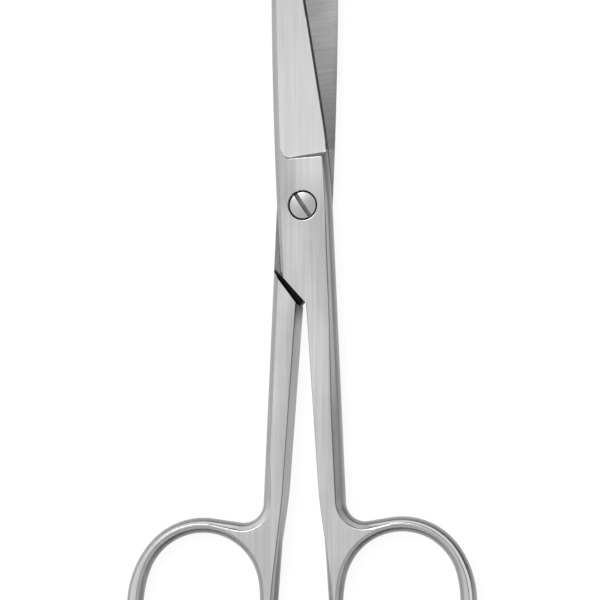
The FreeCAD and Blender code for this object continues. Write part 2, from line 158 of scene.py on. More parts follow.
# A square sheet a hair below the scissors.
def makeFloor(s):
    half = s["floorSize"] / 2
    mesh = bpy.data.meshes.new("floor")
    low = -s["floorDrop"]
    corners = [(-half, -half, low), (half, -half, low), (half, half, low), (-half, half, low)]
    mesh.from_pydata(corners, [], [(0, 1, 2, 3)])
    floor = bpy.data.objects.new("floor", mesh)
    scene.collection.objects.link(floor)
    material = bpy.data.materials.new("paleFloor")
    material.use_nodes = True
    nodes = material.node_tree.nodes
    links = material.node_tree.links
    nodes.clear()
    # seen directly or in the steel, part of the white is the floor's own and part is what the lamps give it
    ray = nodes.new("ShaderNodeLightPath")
    either = nodes.new("ShaderNodeMath")
    either.operation = "MAXIMUM"
    seen = nodes.new("ShaderNodeMath")
    seen.operation = "MAXIMUM"
    glow = nodes.new("ShaderNodeEmission")
    glow.inputs["Strength"].default_value = s["floorGlow"]
    matt = nodes.new("ShaderNodeBsdfDiffuse")
    matt.inputs["Color"].default_value = (s["floorShade"],) * 3 + (1,)
    both = nodes.new("ShaderNodeAddShader")
    plain = nodes.new("ShaderNodeBsdfDiffuse")
    plain.inputs["Color"].default_value = (0.8, 0.8, 0.8, 1)
    mix = nodes.new("ShaderNodeMixShader")
    end = nodes.new("ShaderNodeOutputMaterial")
    links.new(ray.outputs["Is Camera Ray"], either.inputs[0])
    links.new(ray.outputs["Is Glossy Ray"], either.inputs[1])
    links.new(either.outputs[0], seen.inputs[0])
    links.new(ray.outputs["Is Transmission Ray"], seen.inputs[1])
    links.new(glow.outputs[0], both.inputs[0])
    links.new(matt.outputs[0], both.inputs[1])
    links.new(seen.outputs[0], mix.inputs["Fac"])
    links.new(plain.outputs[0], mix.inputs[1])
    links.new(both.outputs[0], mix.inputs[2])
    # seen from below the floor is clear, so that the rear of the scissors can be looked at
    side = nodes.new("ShaderNodeNewGeometry")
    clear = nodes.new("ShaderNodeBsdfTransparent")
    oneWay = nodes.new("ShaderNodeMixShader")
    links.new(side.outputs["Backfacing"], oneWay.inputs["Fac"])
    links.new(mix.outputs[0], oneWay.inputs[1])
    links.new(clear.outputs[0], oneWay.inputs[2])
    links.new(oneWay.outputs[0], end.inputs["Surface"])
    mesh.materials.append(material)


scene.view_settings.view_transform = "Standard"
makeSky(lightSet)
areaLamp("keyLamp", lightSet["keyPlace"], lightSet["keySize"], lightSet["keyPower"])
makeFloor(lightSet)
print("light and floor made")

# An empty node group with its named inputs and outputs, and the two nodes that stand for them inside.
def newGroup(name, inputs, outputs):
    group = bpy.data.node_groups.new(name, "ShaderNodeTree")
    for label, kind, value in inputs:
        socket = group.interface.new_socket(name=label, in_out="INPUT", socket_type=kind)
        if value is not None:
            socket.default_value = value
    for label, kind in outputs:
        group.interface.new_socket(name=label, in_out="OUTPUT", socket_type=kind)
    return group, group.nodes.new("NodeGroupInput"), group.nodes.new("NodeGroupOutput")


# Grinding lines left by a belt or wheel: noise over the turned place, packed across the lines and drawn out along
# them.
def grindLinesGroup():
    group, start, end = newGroup("grindLines", [
        ("Place", "NodeSocketVector", None),
        ("Turn", "NodeSocketFloat", 0.0),
        ("Lines per metre", "NodeSocketFloat", 8000.0),
        ("Length of a line", "NodeSocketFloat", 25.0),
    ], [("Height", "NodeSocketFloat"), ("Tone", "NodeSocketFloat")])
    nodes = group.nodes
    links = group.links
    # lines run along Y before the turn: the noise is packed across them and drawn out along them
    turn = nodes.new("ShaderNodeVectorRotate")
    turn.rotation_type = "Z_AXIS"
    slow = nodes.new("ShaderNodeMath")
    slow.operation = "DIVIDE"
    packed = nodes.new("ShaderNodeCombineXYZ")
    spread = nodes.new("ShaderNodeVectorMath")
    spread.operation = "MULTIPLY"
    fine = nodes.new("ShaderNodeTexNoise")
    fine.inputs["Scale"].default_value = 1.0
    fine.inputs["Detail"].default_value = 3.0
    fine.inputs["Roughness"].default_value = 0.6
    wide = nodes.new("ShaderNodeTexNoise")
    wide.inputs["Scale"].default_value = 0.35
    wide.inputs["Detail"].default_value = 2.0
    links.new(start.outputs["Place"], turn.inputs["Vector"])
    links.new(start.outputs["Turn"], turn.inputs["Angle"])
    links.new(start.outputs["Lines per metre"], slow.inputs[0])
    links.new(start.outputs["Length of a line"], slow.inputs[1])
    links.new(start.outputs["Lines per metre"], packed.inputs["X"])
    links.new(slow.outputs[0], packed.inputs["Y"])
    links.new(start.outputs["Lines per metre"], packed.inputs["Z"])
    links.new(turn.outputs[0], spread.inputs[0])
    links.new(packed.outputs[0], spread.inputs[1])
    links.new(spread.outputs[0], fine.inputs["Vector"])
    links.new(spread.outputs[0], wide.inputs["Vector"])
    links.new(fine.outputs["Fac"], end.inputs["Height"])
    links.new(wide.outputs["Fac"], end.inputs["Tone"])
    return group


# Hand polish: roughness runs between two values with one noise, and a slower noise is the face's swell.
def polishGroup():
    group, start, end = newGroup("handPolish", [
        ("Place", "NodeSocketVector", None),
        ("Patches per metre", "NodeSocketFloat", 120.0),
        ("Dullest", "NodeSocketFloat", 0.42),
        ("Brightest", "NodeSocketFloat", 0.3),
    ], [("Roughness", "NodeSocketFloat"), ("Tone", "NodeSocketFloat"), ("Swell", "NodeSocketFloat")])
    nodes = group.nodes
    links = group.links
    patch = nodes.new("ShaderNodeTexNoise")
    patch.inputs["Detail"].default_value = 1.0
    swell = nodes.new("ShaderNodeTexNoise")
    swell.inputs["Detail"].default_value = 0.0
    slower = nodes.new("ShaderNodeMath")
    slower.operation = "MULTIPLY"
    slower.inputs[1].default_value = 0.5
    rough = nodes.new("ShaderNodeMapRange")
    rough.inputs["From Min"].default_value = 0.3
    rough.inputs["From Max"].default_value = 0.7
    links.new(start.outputs["Place"], patch.inputs["Vector"])
    links.new(start.outputs["Patches per metre"], patch.inputs["Scale"])
    links.new(start.outputs["Patches per metre"], slower.inputs[0])
    links.new(start.outputs["Place"], swell.inputs["Vector"])
    links.new(slower.outputs[0], swell.inputs["Scale"])
    links.new(patch.outputs["Fac"], rough.inputs["Value"])
    links.new(start.outputs["Brightest"], rough.inputs["To Min"])
    links.new(start.outputs["Dullest"], rough.inputs["To Max"])
    links.new(rough.outputs["Result"], end.inputs["Roughness"])
    links.new(patch.outputs["Fac"], end.inputs["Tone"])
    links.new(swell.outputs["Fac"], end.inputs["Swell"])
    return group


# Share of a painted shade or painted highlight band: rises smoothly from 0 to 1 over the width, counted along the way
# from its start.
def paintedLightBandGroup():
    group, start, end = newGroup("paintedLightBand", [
        ("Place", "NodeSocketVector", None),
        ("Way", "NodeSocketVector", (0.0, 1.0, 0.0)),
        ("Start", "NodeSocketFloat", 1.0),
        ("Width", "NodeSocketFloat", 1.0),
    ], [("Share", "NodeSocketFloat")])
    nodes = group.nodes
    links = group.links
    along = nodes.new("ShaderNodeVectorMath")
    along.operation = "DOT_PRODUCT"
    finish = nodes.new("ShaderNodeMath")
    finish.operation = "ADD"
    share = nodes.new("ShaderNodeMapRange")
    share.interpolation_type = "SMOOTHSTEP"
    links.new(start.outputs["Place"], along.inputs[0])
    links.new(start.outputs["Way"], along.inputs[1])
    links.new(start.outputs["Start"], finish.inputs[0])
    links.new(start.outputs["Width"], finish.inputs[1])
    links.new(along.outputs["Value"], share.inputs["Value"])
    links.new(start.outputs["Start"], share.inputs["From Min"])
    links.new(finish.outputs[0], share.inputs["From Max"])
    links.new(share.outputs["Result"], end.inputs["Share"])
    return group


# Metres along the shank and across it.
crownSet = {
    "middleFrom": -0.026, "middleTo": -0.008, "shankMiddle": 0.0026, "halfWidth": 0.0026,
    "dipFrom": -0.008, "dipTo": 0.007, "fadeFrom": -0.056, "fadeTo": -0.048,
}


# Crown: height falls with the square of the distance from the face's middle line, which moves from the shank's middle
# to the screw's axis; the hollowing turns the crown into a dip towards the blade, and it fades out at the ring.
def faceCrownGroup(s):
    group, start, end = newGroup("faceCrown", [
        ("Place", "NodeSocketVector", None),
        ("Turn", "NodeSocketFloat", 0.0),
        ("Side", "NodeSocketFloat", 1.0),
        ("Dip", "NodeSocketFloat", -0.8),
    ], [("Height", "NodeSocketFloat")])
    nodes = group.nodes
    links = group.links
    turn = nodes.new("ShaderNodeVectorRotate")
    turn.rotation_type = "Z_AXIS"
    split = nodes.new("ShaderNodeSeparateXYZ")
    across = nodes.new("ShaderNodeMath")
    across.operation = "MULTIPLY"
    middle = nodes.new("ShaderNodeMapRange")
    middle.interpolation_type = "SMOOTHSTEP"
    middle.inputs["From Min"].default_value = s["middleFrom"]
    middle.inputs["From Max"].default_value = s["middleTo"]
    middle.inputs["To Min"].default_value = s["shankMiddle"]
    middle.inputs["To Max"].default_value = 0.0
    away = nodes.new("ShaderNodeMath")
    away.operation = "SUBTRACT"
    share = nodes.new("ShaderNodeMath")
    share.operation = "DIVIDE"
    share.inputs[1].default_value = s["halfWidth"]
    square = nodes.new("ShaderNodeMath")
    square.operation = "MULTIPLY"
    crown = nodes.new("ShaderNodeMapRange")
    crown.interpolation_type = "SMOOTHSTEP"
    crown.inputs["From Min"].default_value = s["dipFrom"]
    crown.inputs["From Max"].default_value = s["dipTo"]
    crown.inputs["To Min"].default_value = 1.0
    fade = nodes.new("ShaderNodeMapRange")
    fade.interpolation_type = "SMOOTHSTEP"
    fade.inputs["From Min"].default_value = s["fadeFrom"]
    fade.inputs["From Max"].default_value = s["fadeTo"]
    amount = nodes.new("ShaderNodeMath")
    amount.operation = "MULTIPLY"
    bulge = nodes.new("ShaderNodeMath")
    bulge.operation = "MULTIPLY"
    height = nodes.new("ShaderNodeMath")
    height.operation = "MULTIPLY"
    height.inputs[1].default_value = -1.0
    links.new(start.outputs["Place"], turn.inputs["Vector"])
    links.new(start.outputs["Turn"], turn.inputs["Angle"])
    links.new(turn.outputs[0], split.inputs[0])
    links.new(split.outputs["X"], across.inputs[0])
    links.new(start.outputs["Side"], across.inputs[1])
    links.new(split.outputs["Y"], middle.inputs["Value"])
    links.new(across.outputs[0], away.inputs[0])
    links.new(middle.outputs["Result"], away.inputs[1])
    links.new(away.outputs[0], share.inputs[0])
    links.new(share.outputs[0], square.inputs[0])
    links.new(share.outputs[0], square.inputs[1])
    links.new(split.outputs["Y"], crown.inputs["Value"])
    links.new(start.outputs["Dip"], crown.inputs["To Max"])
    links.new(split.outputs["Y"], fade.inputs["Value"])
    links.new(crown.outputs["Result"], amount.inputs[0])
    links.new(fade.outputs["Result"], amount.inputs[1])
    links.new(square.outputs[0], bulge.inputs[0])
    links.new(amount.outputs[0], bulge.inputs[1])
    links.new(bulge.outputs[0], height.inputs[0])
    links.new(height.outputs[0], end.inputs["Height"])
    return group


grindLines = grindLinesGroup()
handPolish = polishGroup()
paintedLightBand = paintedLightBandGroup()
faceCrown = faceCrownGroup(crownSet)


# One steel finish: two tones mixed by lines and polish, a band of painted shade or painted highlight laid over them,
# and crown, swell and lines as bumps, one on top of the other.
def steel(name, s):
    material = bpy.data.materials.new(name)
    material.use_nodes = True
    nodes = material.node_tree.nodes
    links = material.node_tree.links
    shader = nodes["Principled BSDF"]
    shader.inputs["Metallic"].default_value = 1.0
    place = nodes.new("ShaderNodeTexCoord")
    lines = nodes.new("ShaderNodeGroup")
    lines.node_tree = grindLines
    lines.inputs["Turn"].default_value = math.radians(s["turn"])
    lines.inputs["Lines per metre"].default_value = s["linesPerMetre"]
    lines.inputs["Length of a line"].default_value = s["lineLength"]
    polish = nodes.new("ShaderNodeGroup")
    polish.node_tree = handPolish
    polish.inputs["Brightest"].default_value = s["roughness"][0]
    polish.inputs["Dullest"].default_value = s["roughness"][1]
    blend = nodes.new("ShaderNodeMix")
    blend.inputs["Factor"].default_value = 0.3
    contrast = nodes.new("ShaderNodeMapRange")
    contrast.inputs["From Min"].default_value = 0.32
    contrast.inputs["From Max"].default_value = 0.68
    tone = nodes.new("ShaderNodeMix")
    tone.data_type = "RGBA"
    tone.inputs["A"].default_value = (*s["darker"], 1)
    tone.inputs["B"].default_value = (*s["lighter"], 1)
    # painted light: a band whose colour stands in for shade or a highlight on this finish
    paintedLight = nodes.new("ShaderNodeGroup")
    paintedLight.node_tree = paintedLightBand
    paintedLight.inputs["Way"].default_value = s["paintedLightWay"]
    paintedLight.inputs["Start"].default_value = s["paintedLightStart"]
    paintedLight.inputs["Width"].default_value = s["paintedLightWidth"]
    withPaintedLight = nodes.new("ShaderNodeMix")
    withPaintedLight.data_type = "RGBA"
    withPaintedLight.inputs["B"].default_value = (*s["paintedLight"], 1)
    swell = nodes.new("ShaderNodeBump")
    swell.inputs["Strength"].default_value = 1.0
    swell.inputs["Distance"].default_value = s["swellDepth"]
    bump = nodes.new("ShaderNodeBump")
    bump.inputs["Strength"].default_value = 1.0
    bump.inputs["Distance"].default_value = s["lineDepth"]
    if "crown" in s:
        crown = nodes.new("ShaderNodeGroup")
        crown.node_tree = faceCrown
        crown.inputs["Turn"].default_value = math.radians(s["crownTurn"])
        crown.inputs["Side"].default_value = s["crownSide"]
        crown.inputs["Dip"].default_value = s["crownDip"]
        bulge = nodes.new("ShaderNodeBump")
        bulge.inputs["Strength"].default_value = 1.0
        bulge.inputs["Distance"].default_value = s["crown"]
        links.new(place.outputs["Object"], crown.inputs["Place"])
        links.new(crown.outputs["Height"], bulge.inputs["Height"])
        links.new(bulge.outputs["Normal"], swell.inputs["Normal"])
    links.new(place.outputs["Object"], lines.inputs["Place"])
    links.new(place.outputs["Object"], polish.inputs["Place"])
    links.new(place.outputs["Object"], paintedLight.inputs["Place"])
    links.new(lines.outputs["Tone"], blend.inputs["A"])
    links.new(polish.outputs["Tone"], blend.inputs["B"])
    links.new(blend.outputs["Result"], contrast.inputs["Value"])
    links.new(contrast.outputs["Result"], tone.inputs["Factor"])
    links.new(tone.outputs["Result"], withPaintedLight.inputs["A"])
    links.new(paintedLight.outputs["Share"], withPaintedLight.inputs["Factor"])
    links.new(withPaintedLight.outputs["Result"], shader.inputs["Base Color"])
    links.new(polish.outputs["Roughness"], shader.inputs["Roughness"])
    links.new(polish.outputs["Swell"], swell.inputs["Height"])
    links.new(swell.outputs["Normal"], bump.inputs["Normal"])
    links.new(lines.outputs["Height"], bump.inputs["Height"])
    links.new(bump.outputs["Normal"], shader.inputs["Normal"])
    return material


# A grey with a touch more blue.
def grey(level):
    return (level, level, level * 1.008)


# The painted shade in the lap lies along the shoulder, where the gap between the halves is in shade: its way is the
# cosine and sine of a heading from the screw to it.
def lapWay(side, shadeHeading=-45.875):
    angle = math.radians(shadeHeading)
    return (side * math.cos(angle), math.sin(angle), 0.0)


# Tones are each finish's darkest and lightest grey. Only the satins and the screw's steel hold the steel's own; the
# other finishes are darker or lighter copies of it, with painted shade or painted sheen in them. Turns are in degrees,
# depths, starts and widths in metres.
noPaintedLight = {"paintedLight": grey(0.015), "paintedLightWay": (0.0, 1.0, 0.0), "paintedLightStart": 1.0, "paintedLightWidth": 1.0}
# lap plane: a darker copy of the steel, painted shade between the halves; along the shoulder the band turns it near
# black, painted shade in the gap
lapSteel = {"darker": grey(0.22), "lighter": grey(0.32), "roughness": (0.32, 0.4), "turn": 40,
            "linesPerMetre": 6000, "lineLength": 10, "lineDepth": 6e-7, "swellDepth": 2e-5,
            **noPaintedLight, "paintedLightStart": 0.01195, "paintedLightWidth": 0.0003}
satin = {"darker": grey(0.6), "lighter": grey(0.74), "roughness": (0.25, 0.33), "turn": 0, "linesPerMetre": 7000,
         "lineLength": 50, "lineDepth": 4e-7, "swellDepth": 6e-5, "crown": 2.3e-4, **noPaintedLight}
# flanks and slopes: a darker copy of the steel, painted shade for the dark that their sides reflect
flankSteel = {"darker": grey(0.37), "lighter": grey(0.45), "roughness": (0.3, 0.38), "turn": 0, "linesPerMetre": 5000,
              "lineLength": 20, "lineDepth": 3e-7, "swellDepth": 3e-5}
steelSets = {
    "upperSatin": {**satin, "crownTurn": -2.625, "crownSide": 1.0, "crownDip": -0.8},
    "lowerSatin": {**satin, "crownTurn": 2.625, "crownSide": -1.0, "crownDip": 0.3},
    "flankPaintedShade": {**flankSteel, **noPaintedLight},
    # slopes: painted highlight, the band turns them light towards the web and the ring
    "shankSlope": {**flankSteel, "paintedLight": grey(0.7), "paintedLightWay": (0.0, -1.0, 0.0), "paintedLightStart": 0.0525,
                   "paintedLightWidth": 0.0055},
    # inner wall and finger hole: a darker copy of the steel, painted shade, and near black painted shade towards the
    # crotch
    "innerWall": {"darker": grey(0.34), "lighter": grey(0.44), "roughness": (0.34, 0.42),
                  "turn": 0, "linesPerMetre": 5000, "lineLength": 20, "lineDepth": 3e-7,
                  "swellDepth": 3e-5, **noPaintedLight, "paintedLight": grey(0.04), "paintedLightStart": -0.0225, "paintedLightWidth": 0.005},
    # outer ground face of the blade: a lighter copy of the steel, painted sheen
    "groundOuterFace": {"darker": grey(0.82), "lighter": grey(0.94), "roughness": (0.24, 0.3),
                        "turn": 0, "linesPerMetre": 7000, "lineLength": 70, "lineDepth": 4e-7,
                        "swellDepth": 1e-5, **noPaintedLight},
    # sharpened land: dark grey, painted shade along the cutting edge
    "landPaintedShade": {"darker": grey(0.12), "lighter": grey(0.2), "roughness": (0.3, 0.36),
                      "turn": 60, "linesPerMetre": 9000, "lineLength": 10, "lineDepth": 4e-7,
                      "swellDepth": 2e-5, **noPaintedLight},
    # inner ground face of the blade: a darker copy of the steel, partly its cross grinding and partly painted shade;
    # darker still towards the screw, painted shade from the upper blade
    "groundInnerFace": {"darker": grey(0.38), "lighter": grey(0.52), "roughness": (0.28, 0.36),
                        "turn": 84, "linesPerMetre": 6000, "lineLength": 20, "lineDepth": 9e-7,
                        "swellDepth": 2e-5, **noPaintedLight, "paintedLight": grey(0.14), "paintedLightWay": (0.0, -1.0, 0.0),
                        "paintedLightStart": -0.05, "paintedLightWidth": 0.055},
    "upperLap": {**lapSteel, "paintedLightWay": lapWay(1)},
    "lowerLap": {**lapSteel, "paintedLightWay": lapWay(-1)},
    # near black painted shade for the lap end, the shoulder face, the screw's recess and its bore
    "jointPaintedShade": {"darker": grey(0.02), "lighter": grey(0.045), "roughness": (0.5, 0.6),
                  "turn": 0, "linesPerMetre": 3000, "lineLength": 2, "lineDepth": 4e-7,
                  "swellDepth": 2e-5, **noPaintedLight},
    "screwSteel": {"darker": grey(0.52), "lighter": grey(0.64), "roughness": (0.24, 0.32),
                   "turn": 34, "linesPerMetre": 14000, "lineLength": 12, "lineDepth": 3e-7,
                   "swellDepth": 2e-5, **noPaintedLight},
    # screw slot: dark, partly the slot's rough saw marks and partly painted shade
    "screwSlot": {"darker": grey(0.1), "lighter": grey(0.26), "roughness": (0.35, 0.45),
                  "turn": -56, "linesPerMetre": 9000, "lineLength": 4, "lineDepth": 1e-6,
                  "swellDepth": 2e-5, **noPaintedLight},
}
steels = {name: steel(name, s) for name, s in steelSets.items()}
print("steels made")

# Millimetres, in the closed stance: the screw's axis is Z, mid thickness is zero, blade up, ring down on the right.
forgingSet = {
    "restTurn": 2.625, "thickness": 2.0, "lapGap": 0.02,
    "halfWidth": 5.17, "lapEndAngle": 50.5, "lapEndX": 2.5, "lapEndY": -15.05, "shoulderGap": 0.19,
    "shankInnerX": 0.04, "shankDraft": 0.146, "draftEndY": -50.0, "shankWideningY": -43.0,
    "taperStartY": -20.0, "ringEndThinning": 0.25,
    "webRadius": 3.6, "webRise": 6.0,
    "ringCentreY": -73.0, "holeHalfWidth": 10.8, "holeHalfLength": 12.9, "holeEndRadius": 10.5,
    "ringSideBand": 3.1, "ringEndBand": 2.75, "ringEndRadius": 13.1, "ringInnerSideRadius": 20.0,
    "flankWidth": 0.73, "flankHeight": 0.93,
    "slopes": {"ring": 0.42, "shank": 0.97, "crotch": 0.36, "box": 0.24, "blade": 0.62},
    "roundEdges": (0.24, 0.35, 0.2, 0.2, 0.2, 0.05, 0.08),   # by kind of column: ring, web, side, back, wall, lap, hole
    "roundBlade": 0.08, "rearWideningY": (-44.0, -54.0), "flankPower": 1.4, "tipNarrowing": 0.775,
}
bladeSet = {
    "reach": 51.1, "cornerY": 8.3, "tipX": 0.25, "edgeRadius": 130.0, "backRadius": 1040.0,
    "tipCurveStart": 38.0, "tipCurveRadius": 20.9, "tipRadius": 0.45,
    "spineHeight": 1.95, "spineHeightAtTip": 0.75, "landHeight": 0.45, "landHeightAtTip": 0.28,
    "landWidth": 0.34, "stripWidth": 1.3, "shoulderY": 8.66, "shoulderRise": 0.018,
    "leftCorner": (-2.03, 1.6, 1.9), "rightCorner": (4.03, 0.8, 0.96),   # start, width and height in plan
    "coveWidth": (0.35, 1.15), "shoulderEdge": 0.16, "hollowDepth": 0.09, "hollowShare": 0.86,
    "hollowFrom": 9.0, "hollowLength": 37.1, "groundFrom": 8.75,
}
ringSet = {
    "upper": {"centreX": 14.6, "lean": -3.0, "innerLean": 1.13},
    "lower": {"centreX": 15.85, "lean": 2.8, "innerLean": 1.58},
}


# Unit vector at an angle in degrees: its cosine and its sine.
def heading(angle):
    turned = np.radians(angle)
    return np.stack([np.cos(turned), np.sin(turned)], -1)


# Smooth step between start and end: three times the square of the share less twice its cube.
def smooth(value, start, end):
    share = np.clip((value - start) / (end - start), 0, 1)
    return share * share * (3 - 2 * share)


# Where the line through a meets the line through b.
def crossing(a, aWay, b, bWay):
    gap = b - a
    return a + aWay * (gap[0] * bWay[1] - gap[1] * bWay[0]) / (aWay[0] * bWay[1] - aWay[1] * bWay[0])


# Heading from a to b in degrees.
def angleTo(a, b):
    return math.degrees(math.atan2(b[1] - a[1], b[0] - a[0]))


# Radius of an oval's long arcs that run on smoothly from its end arcs.
def ovalSideRadius(width, length, endRadius):
    return (width ** 2 + length ** 2 - 2 * length * endRadius) / (2 * (width - endRadius))


# Straight run: even points from start to end, with the normal on its right.
def run(start, end, count):
    share = np.linspace(0, 1, count)[:, None]
    way = (end - start) / np.linalg.norm(end - start)
    return start + (end - start) * share, np.tile([way[1], -way[0]], (count, 1))


# Arc of a circle: centre plus radius times the heading, normals out of it, or into it where it turns back.
def bend(centre, radius, first, last, count):
    way = heading(np.linspace(first, last, count))
    return centre + way * radius, way * (1 if last > first else -1)


# Cutting edge side: the box's side, an arc, a straight line and the tip circle, as x and normal over y.
def edgeSide(y):
    b = bladeSet
    lean = bladeFacts["lean"]
    start = bladeFacts["edgeStart"]
    bow = np.arcsin(np.clip((y - start) / b["edgeRadius"], 0, math.sin(lean)))
    x = forgingSet["halfWidth"] - b["edgeRadius"] * (1 - np.cos(bow))
    x = np.where(bow >= lean * 0.9999, b["tipX"] + (b["reach"] - y) * math.tan(lean), x)
    tip, radius = bladeFacts["tipCentre"], b["tipRadius"]
    onTip = y > tip[1] + radius * math.sin(lean)
    swing = np.arcsin(np.clip((y - tip[1]) / radius, -1, 1))
    x = np.where(onTip, tip[0] + radius * np.cos(swing), x)
    turn = np.where(onTip, swing, bow)
    return x, np.stack([np.cos(turn), np.sin(turn)], -1)


# Back of the blade: the box's side, two arcs and the tip circle.
def backSide(y):
    b = bladeSet
    centreX = b["backRadius"] - forgingSet["halfWidth"]
    turn = np.arcsin(np.clip(y, 0, None) / b["backRadius"])
    x = centreX - b["backRadius"] * np.cos(turn)
    curve, tip = bladeFacts["curveCentre"], bladeFacts["tipCentre"]
    onCurve = y > b["tipCurveStart"]
    swing = np.arcsin(np.clip((y - curve[1]) / b["tipCurveRadius"], -1, 1))
    x = np.where(onCurve, curve[0] - b["tipCurveRadius"] * np.cos(swing), x)
    turn = np.where(onCurve, swing, turn)
    onTip = y > bladeFacts["tipJoinY"]
    swing = np.arcsin(np.clip((y - tip[1]) / b["tipRadius"], -1, 1))
    x = np.where(onTip, tip[0] - b["tipRadius"] * np.cos(swing), x)
    turn = np.where(onTip, swing, turn)
    return x, np.stack([-np.cos(turn), np.sin(turn)], -1)


# Where the blade's lines touch: the edge's arc and straight line, the back's arc and tip curve, and the small tip
# circle between them.
def bladeFactsOf(f, b):
    lean = math.atan2(f["halfWidth"] - b["tipX"], b["reach"] - b["cornerY"])
    edgeStart = b["cornerY"] - b["edgeRadius"] * math.tan(lean / 2)
    backCentre = np.array([b["backRadius"] - f["halfWidth"], 0.0])
    curveStart = backCentre - [math.sqrt(b["backRadius"] ** 2 - b["tipCurveStart"] ** 2), -b["tipCurveStart"]]
    outward = (curveStart - backCentre) / b["backRadius"]
    curveCentre = curveStart - outward * b["tipCurveRadius"]
    # the tip circle touches the edge line inside it, and the tip curve inside it
    way = np.array([-math.sin(lean), math.cos(lean)])
    inward = np.array([-math.cos(lean), -math.sin(lean)])
    origin = np.array([b["tipX"], b["reach"]])
    offset = curveCentre - origin
    across = offset @ inward
    reach = math.sqrt((b["tipCurveRadius"] - b["tipRadius"]) ** 2 - (b["tipRadius"] - across) ** 2)
    tipCentre = origin + way * (offset @ way + reach) + inward * b["tipRadius"]
    join = tipCentre + (tipCentre - curveCentre) / np.linalg.norm(tipCentre - curveCentre) * b["tipRadius"]
    return {"lean": lean, "edgeStart": edgeStart, "curveCentre": curveCentre, "tipCentre": tipCentre,
            "tipJoinY": join[1], "topY": tipCentre[1] + b["tipRadius"]}


bladeFacts = bladeFactsOf(forgingSet, bladeSet)


# Half thickness: even down to the shank, then thinning evenly towards the ring's end.
def faceHeight(y):
    f = forgingSet
    endY = f["ringCentreY"] - f["holeHalfLength"] - f["ringEndBand"]
    return f["thickness"] - f["ringEndThinning"] * np.clip((f["taperStartY"] - y) / (f["taperStartY"] - endY), 0, 2)


# Ground outer face: a plane from the spine to the land, then the sharpening bevel down to the edge.
def groundHeight(x, y):
    b = bladeSet
    share = np.clip((y - b["groundFrom"]) / (b["reach"] - b["groundFrom"]), 0, 1)
    line = b["tipX"] + (b["reach"] - y) * math.tan(bladeFacts["lean"])
    edgeX = np.where(y < bladeFacts["tipCentre"][1], edgeSide(y)[0], line)
    backX = b["backRadius"] - forgingSet["halfWidth"] - np.sqrt(b["backRadius"] ** 2 - np.clip(y, 0, None) ** 2)
    landX = edgeX - b["landWidth"]
    landZ = b["landHeight"] + (b["landHeightAtTip"] - b["landHeight"]) * share
    spineX = backX + b["stripWidth"]
    spineZ = b["spineHeight"] + (b["spineHeightAtTip"] - b["spineHeight"]) * share ** 4
    ground = spineZ + (x - spineX) * (landZ - spineZ) / (landX - spineX)
    low = forgingSet["lapGap"]
    return np.minimum(ground, low + (edgeX - x) * (landZ - low) / b["landWidth"])


# Where the ground face starts, in plan: nearly straight across, turning up at both ends like ellipse corners.
def shoulderLine(x):
    b = bladeSet
    (leftX, leftWide, leftHigh), (rightX, rightWide, rightHigh) = b["leftCorner"], b["rightCorner"]
    left = np.clip((leftX - x) / leftWide, 0, 1)
    right = np.clip((x - rightX) / rightWide, 0, 1)
    return (b["shoulderY"] + b["shoulderRise"] * (x - leftX)
            + leftHigh * (1 - np.sqrt(1 - left ** 2)) + rightHigh * (1 - np.sqrt(1 - right ** 2)))


# Width of the cove in plan: even growth from the back to the cutting edge.
def coveWidth(x):
    narrow, wide = bladeSet["coveWidth"]
    return narrow + (wide - narrow) * np.clip((x + 3.8) / 8.6, 0, 1)


# Outer face: flat, a rounded shoulder edge, a quarter ellipse as the cove, then the ground face.
def topHeight(x, y):
    flat = faceHeight(y)
    start = shoulderLine(x)
    wide = coveWidth(x)
    ground = groundHeight(x, np.maximum(y, start))
    depth = np.clip(flat - ground, 1e-4, None)
    edge = np.minimum(bladeSet["shoulderEdge"], 0.45 * depth)
    past = y - start
    rounding = edge * (1 - np.sqrt(np.clip(1 - np.clip((past + edge) / edge, 0, 1) ** 2, 0, 1)))
    cove = edge + (depth - edge) * np.sqrt(1 - (1 - np.clip(past / wide, 0, 1)) ** 2)
    return flat - np.where(past < 0, rounding, cove)


# Inner face of the blade: the lap plane with a shallow hollow that fades at its ends and its sides.
def rearHeight(x, y):
    b = bladeSet
    edgeX, backX = edgeSide(y)[0], backSide(y)[0]
    swell = np.sin(np.pi * np.clip((y - b["hollowFrom"]) / b["hollowLength"], 0, 1))
    aside = np.clip((2 * x - edgeX - backX) / ((edgeX - backX) * b["hollowShare"] + 1e-9), -1, 1)
    return forgingSet["lapGap"] + b["hollowDepth"] * swell * (1 - aside ** 2)


# Width of the slope above the flank, changing smoothly from ring to shank, crotch, box and blade.
def columnSlope(kind, p):
    wide = forgingSet["slopes"]
    x, y = p[:, 0], p[:, 1]
    web = wide["ring"] + (wide["shank"] - wide["ring"]) * smooth(x, 15, 8)
    nearLap = smooth(y, forgingSet["shankWideningY"], forgingSet["lapEndY"])
    side = wide["shank"] + (wide["crotch"] - wide["shank"]) * nearLap
    side = side + (wide["box"] - side) * smooth(y, forgingSet["lapEndY"], 0)
    back = wide["box"] + (wide["blade"] - wide["box"]) * smooth(y, 0, bladeSet["groundFrom"])
    return np.select([kind == 1, kind == 2, kind == 3], [web, side, back], wide["ring"])


